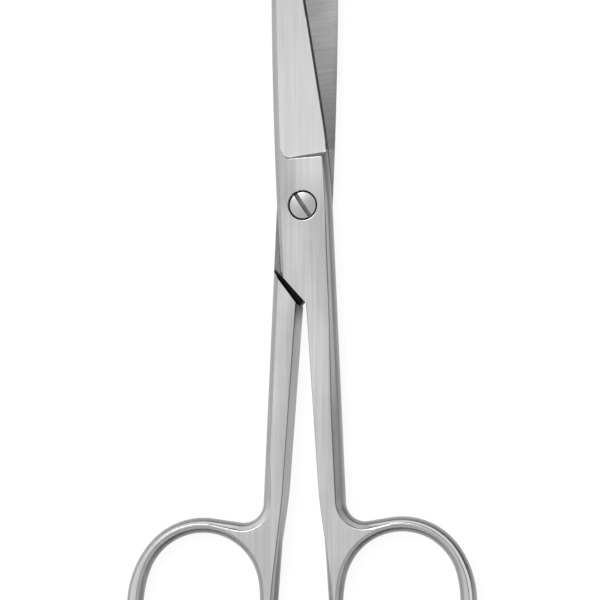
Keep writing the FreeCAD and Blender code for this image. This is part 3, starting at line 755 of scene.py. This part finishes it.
# How far the outline draws in at height z: a quarter ellipse for the flank, then a straight slope; straight draft on
# the inner wall, fading into the ring's profile; nothing on the lap end.
def inset(kind, slope, y, z):
    f = forgingSet
    rearSlope = f["slopes"]["ring"] + np.clip(slope - f["slopes"]["ring"], 0, None) * smooth(y, *f["rearWideningY"])
    high = np.abs(z)
    flank = f["flankWidth"] * np.clip(high / f["flankHeight"], 0, 1) ** f["flankPower"]
    above = np.clip(high - f["flankHeight"], 0, None) / (f["thickness"] - f["flankHeight"])
    rounded = flank + np.where(z < 0, np.minimum(slope, rearSlope), slope) * above
    nearTip = smooth(y, bladeSet["tipCurveStart"], bladeSet["reach"])
    rounded = rounded * (1 - f["tipNarrowing"] * nearTip)
    wall = smooth(y, f["draftEndY"], f["ringCentreY"])
    drafted = -f["shankDraft"] * z * (1 - wall) + rounded * wall
    return np.select([kind == 4, kind == 5], [drafted, 0 * z], rounded)


# The outline as columns: points, normals, kind (0 ring, 1 web, 2 side, 3 back, 4 inner wall, 5 lap end).
def halfColumns(ring):
    f, b = forgingSet, bladeSet
    centre = np.array([ring["centreX"], f["ringCentreY"]])
    outward, upward = heading(ring["lean"]), heading(90 + ring["lean"])
    halfWidth = f["holeHalfWidth"] + f["ringSideBand"]
    halfLength = f["holeHalfLength"] + f["ringEndBand"]
    endRadius = f["ringEndRadius"]
    sideRadius = ovalSideRadius(halfWidth, halfLength, endRadius)
    top = centre + upward * (halfLength - endRadius)
    bottom = centre - upward * (halfLength - endRadius)
    side = centre + outward * (halfWidth - sideRadius)
    wallWay, wallIn = heading(ring["innerLean"] - 90), heading(ring["innerLean"])
    wallStart = np.array([f["shankInnerX"], f["lapEndY"]])
    lapWay = heading(-f["lapEndAngle"])
    lapEnd = np.array([-f["lapEndX"], f["lapEndY"]])
    crotch = crossing(lapEnd, lapWay, wallStart, wallWay)
    boxCorner = crossing(lapEnd, lapWay, np.array([-f["halfWidth"], 0.0]), np.array([0.0, 1.0]))
    innerRadius = f["ringInnerSideRadius"]
    offset = bottom - wallStart
    reach = math.sqrt((innerRadius - endRadius) ** 2 - (innerRadius - offset @ wallIn) ** 2)
    inner = wallStart + wallWay * (offset @ wallWay - reach) + wallIn * innerRadius
    wallEnd = inner - wallIn * innerRadius
    drop = f["shoulderGap"] / math.cos(math.radians(f["lapEndAngle"]))
    shoulder = np.array([f["lapEndX"], f["lapEndY"] - drop])
    shoulderWay = heading(f["lapEndAngle"])
    wallFoot = crossing(shoulder, shoulderWay, wallStart, wallWay)
    sideFoot = crossing(shoulder, shoulderWay, np.array([f["halfWidth"], 0.0]), np.array([0.0, 1.0]))
    innerEnd = angleTo(inner, bottom) % 360
    sideLow, sideHigh = angleTo(side, bottom), angleTo(side, top)
    webUp = heading(90 + f["webRise"])
    webStart = top + webUp * endRadius
    filletX = f["halfWidth"] + f["webRadius"]
    filletY = webStart[1] + (f["webRadius"] - (filletX - webStart[0]) * webUp[0]) / webUp[1]
    fillet = np.array([filletX, filletY])
    webEnd = fillet - webUp * f["webRadius"]
    rightY, leftY = bladeRows["right"], bladeRows["left"][::-1]
    parts = [
        (4, run(crotch, wallFoot, 3)),
        (4, run(wallFoot, wallEnd, 60)),
        (0, bend(inner, innerRadius, 180 + ring["innerLean"], innerEnd, 30)),
        (0, bend(bottom, endRadius, innerEnd, sideLow + 360, 150)),
        (0, bend(side, sideRadius, sideLow, sideHigh, 50)),
        (0, bend(top, endRadius, sideHigh, 90 + f["webRise"], 70)),
        (1, run(webStart, webEnd, 14)),
        (2, bend(fillet, f["webRadius"], 270 + f["webRise"], 180, 48)),
        (2, run(np.array([f["halfWidth"], filletY]), sideFoot, 60)),
        (2, run(sideFoot, np.array([f["halfWidth"], bladeFacts["edgeStart"]]), 24)),
    ]
    edgeY = np.append(np.linspace(bladeFacts["edgeStart"], rightY[0], 14)[:-1], rightY)
    backY = np.append(leftY, np.linspace(leftY[-1], 0, 18)[1:])
    for kind, ys, sideOf in ((2, edgeY, edgeSide), (3, backY, backSide)):
        x, normal = sideOf(ys)
        parts.append((kind, (np.stack([x, ys], -1), normal)))
    parts += [
        (3, run(np.array([-f["halfWidth"], 0.0]), boxCorner, 16)),
        (5, run(boxCorner, crotch, 16)),
    ]
    points = np.concatenate([p[:-1] for _, (p, n) in parts])
    normals = np.concatenate([n[:-1] for _, (p, n) in parts])
    kinds = np.concatenate([np.full(len(p) - 1, kind) for kind, (p, n) in parts])
    starts = np.cumsum([0] + [len(p) - 1 for _, (p, n) in parts])
    marks = {"wallFoot": starts[1], "wallEnd": starts[2], "sideFoot": starts[9], "rightStart": starts[10] + 13,
             "tip": starts[11], "leftEnd": starts[11] + len(leftY) - 1, "lap": starts[13]}
    return points, normals, kinds, marks


# Places where the shoulder's rounding, the cove and the ground face begin, on the back and on the cutting edge side.
bladeRowSet = {
    "left": (10.53, 10.55, 10.9), "right": (8.67, 8.83, 10.62), "rightBow": 0.2, "evenFrom": 16.0, "tipFrom": 48.0,
}


# Rows of the blade's faces: over the rounded shoulder, down the cove, then up the ground face to the tip. Each row
# has one place on the back and one on the cutting edge side.
def bladeRowsOf(s):
    over = np.sin(np.radians(np.linspace(0, 90, 6)))
    down = 1 - np.cos(np.radians(np.linspace(0, 90, 16)[1:]))
    near = np.linspace(0, 1, 18)[1:]
    far = np.linspace(s["evenFrom"], s["tipFrom"], 64)[1:]
    top = bladeFacts["topY"]
    end = top - (top - s["tipFrom"]) * (1 - np.linspace(0, 1, 22)[1:]) ** 2
    (edge, cove, ground), last = s["left"], s["evenFrom"]
    left = [edge + (cove - edge) * over, cove + (ground - cove) * down, ground + (last - ground) * near, far, end]
    edge, cove, ground = s["right"]
    bow = s["rightBow"] * np.sin(np.pi * down ** 0.8)
    right = [edge + (cove - edge) * over, cove + (ground - cove) * down - bow, ground + (last - ground) * near, far,
             end]
    left, right = np.concatenate(left), np.concatenate(right)
    count = len(left)
    follow = np.zeros(count)
    follow[:len(over) + len(down)] = 1
    follow[len(over) + len(down):len(over) + len(down) + len(near)] = (1 - near) ** 2
    edgeShare = np.zeros(count)
    edgeShare[:len(over)] = 1 - over
    coveShare = np.ones(count)
    coveShare[:len(over)] = 0
    coveShare[len(over):len(over) + len(down)] = down
    return {"left": left, "right": right, "follow": follow, "edgeShare": edgeShare, "coveShare": coveShare}


bladeRows = bladeRowsOf(bladeRowSet)


# Move of a corner that brings both of its sides in by their own insets.
def mitre(first, second, firstInset, secondInset):
    turn = first[0] * second[1] - first[1] * second[0]
    return np.stack([-(firstInset * second[1] - secondInset * first[1]) / turn,
                     -(secondInset * first[0] - firstInset * second[0]) / turn], -1)


# Places on the side surface: outline point less normal times inset, for an array of heights per column.
def placeColumns(points, normals, kinds, slope, z, corners):
    y = points[:, 1:2]
    draw = inset(kinds[:, None], slope[:, None], y, z)
    flat = points[:, None, :] - draw[..., None] * normals[:, None, :]
    for index, before in corners:
        first = inset(kinds[before], slope[before], points[index, 1], z[index])
        second = inset(kinds[index], slope[index], points[index, 1], z[index])
        flat[index] = points[index] + mitre(normals[before], normals[index], first, second)
    if corners:
        evenLap(flat, corners)
    return np.concatenate([flat, z[..., None]], -1)


# The lap end's columns lie evenly between its two corners at every height.
def evenLap(flat, corners):
    lap = corners[1][0]
    share = (np.arange(len(flat) - lap) / (len(flat) - lap)).reshape((-1,) + (1,) * (flat.ndim - 1))
    flat[lap:] = flat[lap] + (flat[0] - flat[lap]) * share


# Side surface from the lap plane to one face (1 outer, -1 rear): flank rows, slope rows, then a rounded edge as a
# quadratic curve that ends flat in the face.
def skin(points, normals, kinds, corners, face):
    f = forgingSet
    low = f["lapGap"]
    slope = columnSlope(kinds, points)
    begin = math.degrees(math.asin(low / f["flankHeight"]))
    flank = f["flankHeight"] * np.sin(np.radians(np.linspace(begin if face > 0 else -begin, 90, 15)))
    upper = f["flankHeight"] + (f["thickness"] - f["flankHeight"]) * np.array([0.03, 0.2, 0.45, 0.7, 1.0])
    rows = np.concatenate([flank, upper])
    fine = np.concatenate([f["flankHeight"] * np.sin(np.radians(np.linspace(begin, 89, 60))),
                           np.linspace(f["flankHeight"], f["thickness"] + 1e-6, 60)])
    if face > 0:
        tall = np.tile(fine, (len(points), 1))
        place = placeColumns(points, normals, kinds, slope, tall, corners)
        over = tall - topHeight(place[..., 0], place[..., 1])
        hit = np.argmax(over >= 0, axis=1)
        every = np.arange(len(points))
        before = np.maximum(hit - 1, 0)
        share = np.where(hit > 0, -over[every, before] / (over[every, hit] - over[every, before] + 1e-12), 0)
        end = tall[every, before] + np.clip(share, 0, 1) * (tall[every, hit] - tall[every, before])
    else:
        end = faceHeight(points[:, 1])
    wide = np.choose(kinds, f["roundEdges"])
    wide = wide + (f["roundBlade"] - wide) * smooth(points[:, 1], 4, 8) * (kinds > 1)
    radius = np.minimum(wide, 0.45 * (end - low))
    start = end - 0.75 * radius
    tall = face * np.minimum(rows[None, :], start[:, None])
    grid = placeColumns(points, normals, kinds, slope, tall, corners)
    first = placeColumns(points, normals, kinds, slope, face * start[:, None], corners)[:, 0]
    middle = placeColumns(points, normals, kinds, slope, face * end[:, None], corners)[:, 0]
    inward = -normals.copy()
    for index, before in corners:
        inward[index] = mitre(normals[before], normals[index], 1.0, 1.0)
    last = middle.copy()
    last[:, :2] += inward * radius[:, None]
    if corners:
        evenLap(last, corners)
    last[:, 2] = topHeight(last[:, 0], last[:, 1]) if face > 0 else -faceHeight(last[:, 1])
    flatEnd = radius < 1e-4
    last[flatEnd] = middle[flatEnd]
    turn = np.array([0.25, 0.5, 0.75, 1.0])[None, :, None]
    curve = (1 - turn) ** 2 * first[:, None] + 2 * turn * (1 - turn) * middle[:, None] + turn ** 2 * last[:, None]
    return np.concatenate([grid, curve], 1)


# Slides the rear skin's first and last columns along the outline until they lie in the shoulder's plane.
def shearToShoulder(grid, points, normals):
    f = forgingSet
    drop = f["shoulderGap"] / math.cos(math.radians(f["lapEndAngle"]))
    across = heading(90 + f["lapEndAngle"])
    base = np.array([f["lapEndX"], f["lapEndY"] - drop])
    for end, order in ((0, np.arange(len(points))), (-1, np.arange(len(points))[::-1])):
        way = np.array([-normals[end][1], normals[end][0]])
        slide = -((grid[end, :, :2] - base) @ across) / (way @ across)
        far = np.linalg.norm(points[order] - points[end], axis=1)
        near = order[far < 4.0]
        weight = (1 - far[far < 4.0] / 4.0) ** 2
        grid[near, :, :2] += (weight[:, None] * slide[None, :])[..., None] * way
    return grid


# Even and odd crossings of a level line with the loop tell whether each point lies inside it.
def insideLoop(points, loop):
    x, y = points[:, 0:1], points[:, 1:2]
    ax, ay = loop[:, 0], loop[:, 1]
    bx, by = np.roll(ax, -1), np.roll(ay, -1)
    spans = (ay > y) != (by > y)
    crossX = ax + (y - ay) * (bx - ax) / np.where(by == ay, 1e-12, by - ay)
    return (np.sum(spans & (x < crossX), axis=1) % 2) == 1


# Collects the grids and caps of one piece.
class Shell:
    # Empty lists; count is the number of points taken in so far.
    def __init__(self):
        self.points = []
        self.faces = []
        self.finish = []
        self.flat = []
        self.count = 0

    # Takes in points and faces, and numbers the faces on from those before.
    def add(self, points, faces, finish, flat=0):
        self.points.append(points.reshape(-1, 3))
        self.faces += (np.asarray(faces) + self.count).tolist()
        self.finish += [finish] * len(faces)
        self.flat += [flat] * len(faces)
        self.count += len(self.points[-1])

    # Four sided faces between neighbouring columns and rows; a closed grid joins its last column to its first.
    def grid(self, grid, finish, closed=False):
        rows, columns = grid.shape[:2]
        number = np.arange(rows * columns).reshape(rows, columns)
        if closed:
            number = np.concatenate([number, number[:1]])
        faces = np.stack([number[:-1, :-1], number[1:, :-1], number[1:, 1:], number[:-1, 1:]], -1).reshape(-1, 4)
        if isinstance(finish, (int, np.integer)):
            self.add(grid, faces, finish)
            return
        bands = np.tile(finish[:-1], number.shape[0] - 1)
        for band in np.unique(bands):
            self.add(grid, faces[bands == band], int(band))

    # Flat face between an outer loop and its holes, filled with triangles.
    def cap(self, loops, heightOf, finish, spacing=1.6):
        ring = np.concatenate(loops)
        starts = np.cumsum([0] + [len(loop) for loop in loops])
        edges = [(a, a + 1 if a + 1 < end else start)
                 for start, end in zip(starts[:-1], starts[1:]) for a in range(start, end)]
        low, high = ring[:, :2].min(0), ring[:, :2].max(0)
        xs, ys = np.meshgrid(np.arange(low[0], high[0], spacing), np.arange(low[1], high[1], spacing))
        inner = np.stack([xs.ravel(), ys.ravel()], -1)
        gap = np.min(np.linalg.norm(inner[:, None, :] - ring[None, :, :2], axis=2), axis=1)
        inner = inner[gap > 0.35 * spacing]
        flat = [Vector(p) for p in np.concatenate([ring[:, :2], inner])]
        places, _, faces, origin, _, _ = delaunay_2d_cdt(flat, edges, [], 2, 1e-6)
        places = np.array([tuple(p) for p in places])
        height = heightOf(places[:, 0], places[:, 1])
        known = [(index, known[0]) for index, known in enumerate(origin) if known and known[0] < len(ring)]
        if known:
            here, there = np.array(known).T
            height[here] = ring[there, 2]
        used = np.array([list(face) for face in faces])
        middle = places[used].mean(1)
        keep = np.ones(len(used), bool)
        for loop in loops[1:]:
            keep &= ~insideLoop(middle, loop)
        self.add(np.column_stack([places, height]), used[keep], finish, 1)

    # Mesh of the collected parts, its seams welded and its faces turned outwards; place moves it to its stance.
    def build(self, name, place):
        mesh = bpy.data.meshes.new(name)
        mesh.from_pydata(place(np.concatenate(self.points)) / 1000.0, [], self.faces)
        mesh.polygons.foreach_set("material_index", np.array(self.finish, np.int32))
        mesh.attributes.new("flat", "INT", "FACE").data.foreach_set("value", np.array(self.flat, np.int32))
        shape = bmesh.new()
        shape.from_mesh(mesh)
        bmesh.ops.remove_doubles(shape, verts=shape.verts, dist=1.5e-6)
        bmesh.ops.dissolve_degenerate(shape, dist=1e-7, edges=shape.edges)
        loose = [v for v in shape.verts if not v.link_faces]
        bmesh.ops.delete(shape, geom=loose, context="VERTS")
        bmesh.ops.recalc_face_normals(shape, faces=shape.faces)
        ajar = [e for e in shape.edges if len(e.link_faces) != 2]
        print(name, len(shape.faces), "faces,", len(ajar), "open edges")
        flat = shape.faces.layers.int["flat"]
        for edge in shape.edges:
            sides = {face[flat] for face in edge.link_faces}
            edge.smooth = len(sides) < 2 and edge.calc_face_angle(0) < math.radians(28)
        shape.to_mesh(mesh)
        shape.free()
        piece = bpy.data.objects.new(name, mesh)
        scene.collection.objects.link(piece)
        mesh.polygons.foreach_set("use_smooth", np.ones(len(mesh.polygons), bool))
        even = piece.modifiers.new("evenNormals", "WEIGHTED_NORMAL")
        even.keep_sharp = True
        return piece


# Numbers of the finishes on a half, in the order of its materials, and how many rows of faces each one covers,
# counted from the lap plane outwards.
# every finish here but the satin is a darker or lighter copy of the steel, with painted shade or painted sheen in it
forged, flankFinish, groundOuter, groundInner, lapPlane = 0, 1, 2, 3, 4
jointPaintedShade, innerWall, land, slopeFinish = 5, 6, 7, 8
finishRows = {"flank": 14, "slope": 8, "lap": 19, "wall": 22}


# Finish of each row: the given runs one after the other, and the face's own satin on the rest.
def rowFinishes(rows, *runs):
    given = np.concatenate([np.full(count, finish) for finish, count in runs])
    return np.append(given, np.full(rows - len(given), forged))


# Columns of the finger hole, a four arc oval, with normals towards its middle.
def fingerHole(ring):
    f = forgingSet
    centre = np.array([ring["centreX"], f["ringCentreY"]])
    outward, upward = heading(ring["lean"]), heading(90 + ring["lean"])
    radius = f["holeEndRadius"]
    sideRadius = ovalSideRadius(f["holeHalfWidth"], f["holeHalfLength"], radius)
    top = centre + upward * (f["holeHalfLength"] - radius)
    bottom = centre - upward * (f["holeHalfLength"] - radius)
    right = centre + outward * (f["holeHalfWidth"] - sideRadius)
    left = centre - outward * (f["holeHalfWidth"] - sideRadius)
    rightLow, rightHigh = angleTo(right, bottom), angleTo(right, top)
    leftHigh, leftLow = angleTo(left, top) % 360, angleTo(left, bottom) % 360
    arcs = [bend(right, sideRadius, rightLow, rightHigh, 40), bend(top, radius, rightHigh, leftHigh, 100),
            bend(left, sideRadius, leftHigh, leftLow, 40), bend(bottom, radius, leftLow, rightLow + 360, 100)]
    points = np.concatenate([p[:-1] for p, n in arcs])
    normals = -np.concatenate([n[:-1] for p, n in arcs])
    return points, normals, np.full(len(points), 6)


# Surface of revolution about the screw's axis: radius and height pairs carried round a circle.
def turned(profile, count=96):
    way = heading(np.linspace(0, 360, count, endpoint=False))
    radius, z = np.array(profile).T
    flat = way[:, None, :] * radius[None, :, None]
    return np.concatenate([flat, np.broadcast_to(z[None, :, None], (count, len(z), 1))], -1)


# One half: side skins, finger hole, blade faces, caps, shoulder and the screw's hole.
def forgedHalf(name, ring, bore, place):
    points, normals, kinds, marks = halfColumns(ring)
    count = len(points)
    corners = [(0, count - 1), (marks["lap"], marks["lap"] - 1)]
    outer = skin(points, normals, kinds, corners, 1)
    rows = outer.shape[1]
    ringBands = rowFinishes(rows, (flankFinish, finishRows["flank"]))
    wallBands = rowFinishes(rows, (innerWall, finishRows["wall"]))
    # the lap end's lower rows: near black painted shade
    lapBands = rowFinishes(rows, (jointPaintedShade, finishRows["lap"]))
    sideBands = rowFinishes(rows, (flankFinish, finishRows["flank"]), (slopeFinish, finishRows["slope"]))
    ringEnd = np.argmax(kinds == 2)
    shell = Shell()
    shell.grid(outer[:marks["wallEnd"] + 1], wallBands)
    shell.grid(outer[marks["wallEnd"]:ringEnd + 1], ringBands)
    shell.grid(outer[ringEnd:marks["lap"] + 1], sideBands)
    shell.grid(np.concatenate([outer[marks["lap"]:], outer[:1]]), lapBands)
    rearRange = slice(marks["wallFoot"], marks["sideFoot"] + 1)
    rear = skin(points[rearRange], normals[rearRange], kinds[rearRange], [], -1)
    rear[:, 0] = outer[rearRange, 0]
    rear = shearToShoulder(rear, points[rearRange], normals[rearRange])
    rear[:, 0] = outer[rearRange, 0]
    wallLength = marks["wallEnd"] - marks["wallFoot"]
    shell.grid(rear[:wallLength + 1], wallBands)
    shell.grid(rear[wallLength:ringEnd - marks["wallFoot"] + 1], ringBands)
    shell.grid(rear[ringEnd - marks["wallFoot"]:], sideBands)
    share = np.linspace(0, 1, 14)[:, None, None]
    shoulder = rear[0][None] * (1 - share) + rear[-1][None] * share
    # the shoulder face: near black painted shade
    shell.grid(shoulder, jointPaintedShade)
    holePoints, holeNormals, holeKinds = fingerHole(ring)
    holeOuter = skin(holePoints, holeNormals, holeKinds, [], 1)
    holeRear = skin(holePoints, holeNormals, holeKinds, [], -1)
    holeRear[:, 0] = holeOuter[:, 0]
    shell.grid(holeOuter, wallBands, closed=True)
    shell.grid(holeRear, wallBands, closed=True)

    # blade: rows go from the back to the cutting edge
    leftIndex = np.arange(marks["leftEnd"], marks["tip"] - 1, -1)
    rightIndex = np.arange(marks["rightStart"], marks["tip"] + 1)
    left, right = outer[leftIndex], outer[rightIndex]
    b = bladeSet
    landX = edgeSide(right[:, 0, 1])[0] - b["landWidth"]
    xLeft, xRight = left[:, -1, 0], right[:, -1, 0]
    landShare = np.clip((landX - xLeft) / (xRight - xLeft + 1e-9), 0.3, 0.985)[:, None]
    across = np.concatenate([np.linspace(0, 1, 41)[None, :] * landShare,
                             landShare + np.array([0.2, 0.4, 0.6, 0.8, 1.0])[None, :] * (1 - landShare)], 1)
    x = xLeft[:, None] + (xRight - xLeft)[:, None] * across
    depth = 2 - groundHeight(x, shoulderLine(x))
    rounding = np.minimum(b["shoulderEdge"], 0.45 * np.clip(depth, 1e-4, None))
    rowLine = (shoulderLine(x) - rounding * bladeRows["edgeShare"][:, None]
               + coveWidth(x) * bladeRows["coveShare"][:, None])
    ends = rowLine[:, :1] + (rowLine[:, -1:] - rowLine[:, :1]) * across
    straight = left[:, -1, 1][:, None] + (right[:, -1, 1] - left[:, -1, 1])[:, None] * across
    y = straight + (rowLine - ends) * bladeRows["follow"][:, None]
    blade = np.stack([x, y, topHeight(x, y)], -1)
    blade[:, 0], blade[:, -1] = left[:, -1], right[:, -1]
    shell.grid(blade[:, :-5], groundOuter)
    # the sharpened land takes the dark grey painted shade
    shell.grid(blade[:, -6:], land)
    share = np.linspace(0, 1, 29)
    under = left[:, 0][:, None] * (1 - share)[None, :, None] + right[:, 0][:, None] * share[None, :, None]
    under[:, 1:-1, 2] = rearHeight(under[:, 1:-1, 0], under[:, 1:-1, 1])
    under[0, :, 2] = forgingSet["lapGap"]
    shell.grid(under, groundInner)

    # caps: the outer face with the screw's recess, the lap plane, and the rear face of shank and ring
    upTo = np.arange(0, marks["rightStart"] + 1)
    downFrom = np.arange(marks["leftEnd"], count)
    recess, borehole = turned(bore["outer"]), turned(bore["inner"])
    shell.cap([np.concatenate([outer[upTo, -1], blade[0, 1:-1][::-1], outer[downFrom, -1]]),
               holeOuter[:, -1], recess[:, 0]], lambda x, y: faceHeight(y), forged)
    lapLoop = np.concatenate([shoulder[:, 0], outer[marks["sideFoot"] + 1:marks["rightStart"] + 1, 0],
                              under[0, 1:-1][::-1], outer[downFrom, 0], outer[:marks["wallFoot"], 0]])
    shell.cap([lapLoop, borehole[:, -1]], lambda x, y: 0 * x + forgingSet["lapGap"], lapPlane)
    shell.cap([np.concatenate([rear[:, -1], shoulder[1:-1, -1][::-1]]), holeRear[:, -1]],
              lambda x, y: -faceHeight(y), forged)
    shell.grid(recess[:, :4], forged, closed=True)
    # the recess below its rim and the bore: near black painted shade
    shell.grid(recess[:, 3:], jointPaintedShade, closed=True)
    shell.grid(borehole, jointPaintedShade, closed=True)
    return shell.build(name, place)


# Turns a half about the screw's axis and, for the lower one, over about Y, and lifts it to mid thickness.
def stance(turn, over):
    angle = math.radians(turn)
    cos, sin = math.cos(angle), math.sin(angle)

    # x and z change sign on the lower half, then x and y are turned by the angle.
    def place(p):
        side = -1 if over else 1
        x, y, z = p[:, 0] * side, p[:, 1], p[:, 2] * side
        return np.stack([x * cos - y * sin, x * sin + y * cos, z + forgingSet["thickness"]], -1)
    return place


boreSet = {
    "upper": {"outer": [(2.84, 2.0), (2.78, 1.985), (2.72, 1.95), (2.68, 1.88), (2.68, 0.92)],
              "inner": [(2.68, 0.92), (1.75, 0.92), (1.75, 0.02)]},
    "lower": {"outer": [(1.50, 2.0), (1.45, 1.98), (1.42, 1.94), (1.42, 1.0)],
              "inner": [(1.42, 1.0), (1.42, 0.02)]},
}

upperHalf = forgedHalf("upperHalf", ringSet["upper"], boreSet["upper"], stance(forgingSet["restTurn"], False))
lowerHalf = forgedHalf("lowerHalf", ringSet["lower"], boreSet["lower"], stance(-forgingSet["restTurn"], True))
for piece, node, body in ((upperHalf, "upper_half", "upper"), (lowerHalf, "lower_half", "lower")):
    for name in (body + "Satin", "flankPaintedShade", "groundOuterFace", "groundInnerFace", body + "Lap", "jointPaintedShade",
                 "innerWall", "landPaintedShade", "shankSlope"):
        piece.data.materials.append(steels[name])
    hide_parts(node)
    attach(piece, body)
print("halves made")

screwSet = {
    "radius": 2.46, "rimRound": 0.12, "dome": 0.17, "top": 4.0, "headLow": 2.95,
    "neckRadius": 1.7, "neckLow": 1.98, "threadRadius": 1.4, "tailRound": 0.2,
    "slotHalf": 0.35, "slotDepth": 0.5, "slotAngle": -56.0, "slotEdge": 0.05,
}


# Head as rows side by side across the slot, each row a chord of the round head: low dome less the rim's quarter
# round, with the slot's rows dropped to its floor. The rim's outline is then carried down and in as head side, neck
# and thread.
def slottedScrew(s):
    rim, half, edge = s["radius"], s["slotHalf"], s["slotEdge"]
    beside = half + edge + (rim - half - edge) * np.sin(np.radians(np.linspace(0, 90, 30)))
    corner = np.radians(np.linspace(90, 0, 5))
    cornerAt, cornerDrop = half + edge - edge * np.cos(corner), edge * (1 - np.sin(corner))
    across = np.concatenate([beside[::-1], cornerAt[1:], [half, half * 0.5]])
    drop = np.concatenate([0 * beside, cornerDrop[1:], [s["slotDepth"], s["slotDepth"]]])
    across = np.concatenate([-across, [0.0], across[::-1]])
    drop = np.concatenate([drop, [s["slotDepth"]], drop[::-1]])
    inSlot = drop > edge + 1e-9
    reach = np.sqrt(np.clip(rim ** 2 - across ** 2, 0, None))
    sweep = np.sin(np.radians(np.linspace(-90, 90, 61)))
    along = reach[:, None] * sweep[None, :]
    wide = np.broadcast_to(across[:, None], along.shape)
    away = np.sqrt(wide ** 2 + along ** 2)
    pastRim = np.clip(away - rim + s["rimRound"], 0, None)
    rimRound = s["rimRound"] - np.sqrt(np.clip(s["rimRound"] ** 2 - pastRim ** 2, 0, None))
    height = s["top"] - s["dome"] * (away / rim) ** 2 - rimRound
    height = np.where(inSlot[:, None], s["top"] - s["slotDepth"], height - drop[:, None])
    height = np.maximum(height, s["top"] - s["slotDepth"])
    turn = math.radians(s["slotAngle"])
    way, side = np.array([math.cos(turn), math.sin(turn)]), np.array([-math.sin(turn), math.cos(turn)])
    flat = along[..., None] * way + wide[..., None] * side
    head = np.concatenate([flat, height[..., None]], -1)
    shell = Shell()
    slotStart, slotEnd = len(beside), len(across) - len(beside) - 1
    shell.grid(head[:slotStart + 1], 0)
    shell.grid(head[slotStart:slotEnd + 1], 1)
    shell.grid(head[slotEnd:], 0)
    outline = np.concatenate([head[:, -1], head[-2:0:-1, 0]])
    tail = s["tailRound"]
    steps = [(1, None), (1, s["headLow"] + 0.05), (0.98, s["headLow"]), (s["neckRadius"] / rim, s["headLow"]),
             (s["neckRadius"] / rim, s["neckLow"]), (s["threadRadius"] / rim, s["neckLow"]),
             (s["threadRadius"] / rim, tail), ((s["threadRadius"] - 0.3 * tail) / rim, 0.3 * tail),
             ((s["threadRadius"] - tail) / rim, 0.0), (0.3, 0.0), (1e-5, 0.0)]
    below = []
    for scale, z in steps:
        ring = outline.copy()
        ring[:, :2] *= scale
        if z is not None:
            ring[:, 2] = z
        below.append(ring)
    shell.grid(np.stack(below, 1), 0, closed=True)
    return shell.build("pivotScrew", lambda p: p)


pivotScrew = slottedScrew(screwSet)
for name in ("screwSteel", "screwSlot"):
    pivotScrew.data.materials.append(steels[name])
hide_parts("pivot_screw")
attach(pivotScrew, "lower")
print("pieces made")
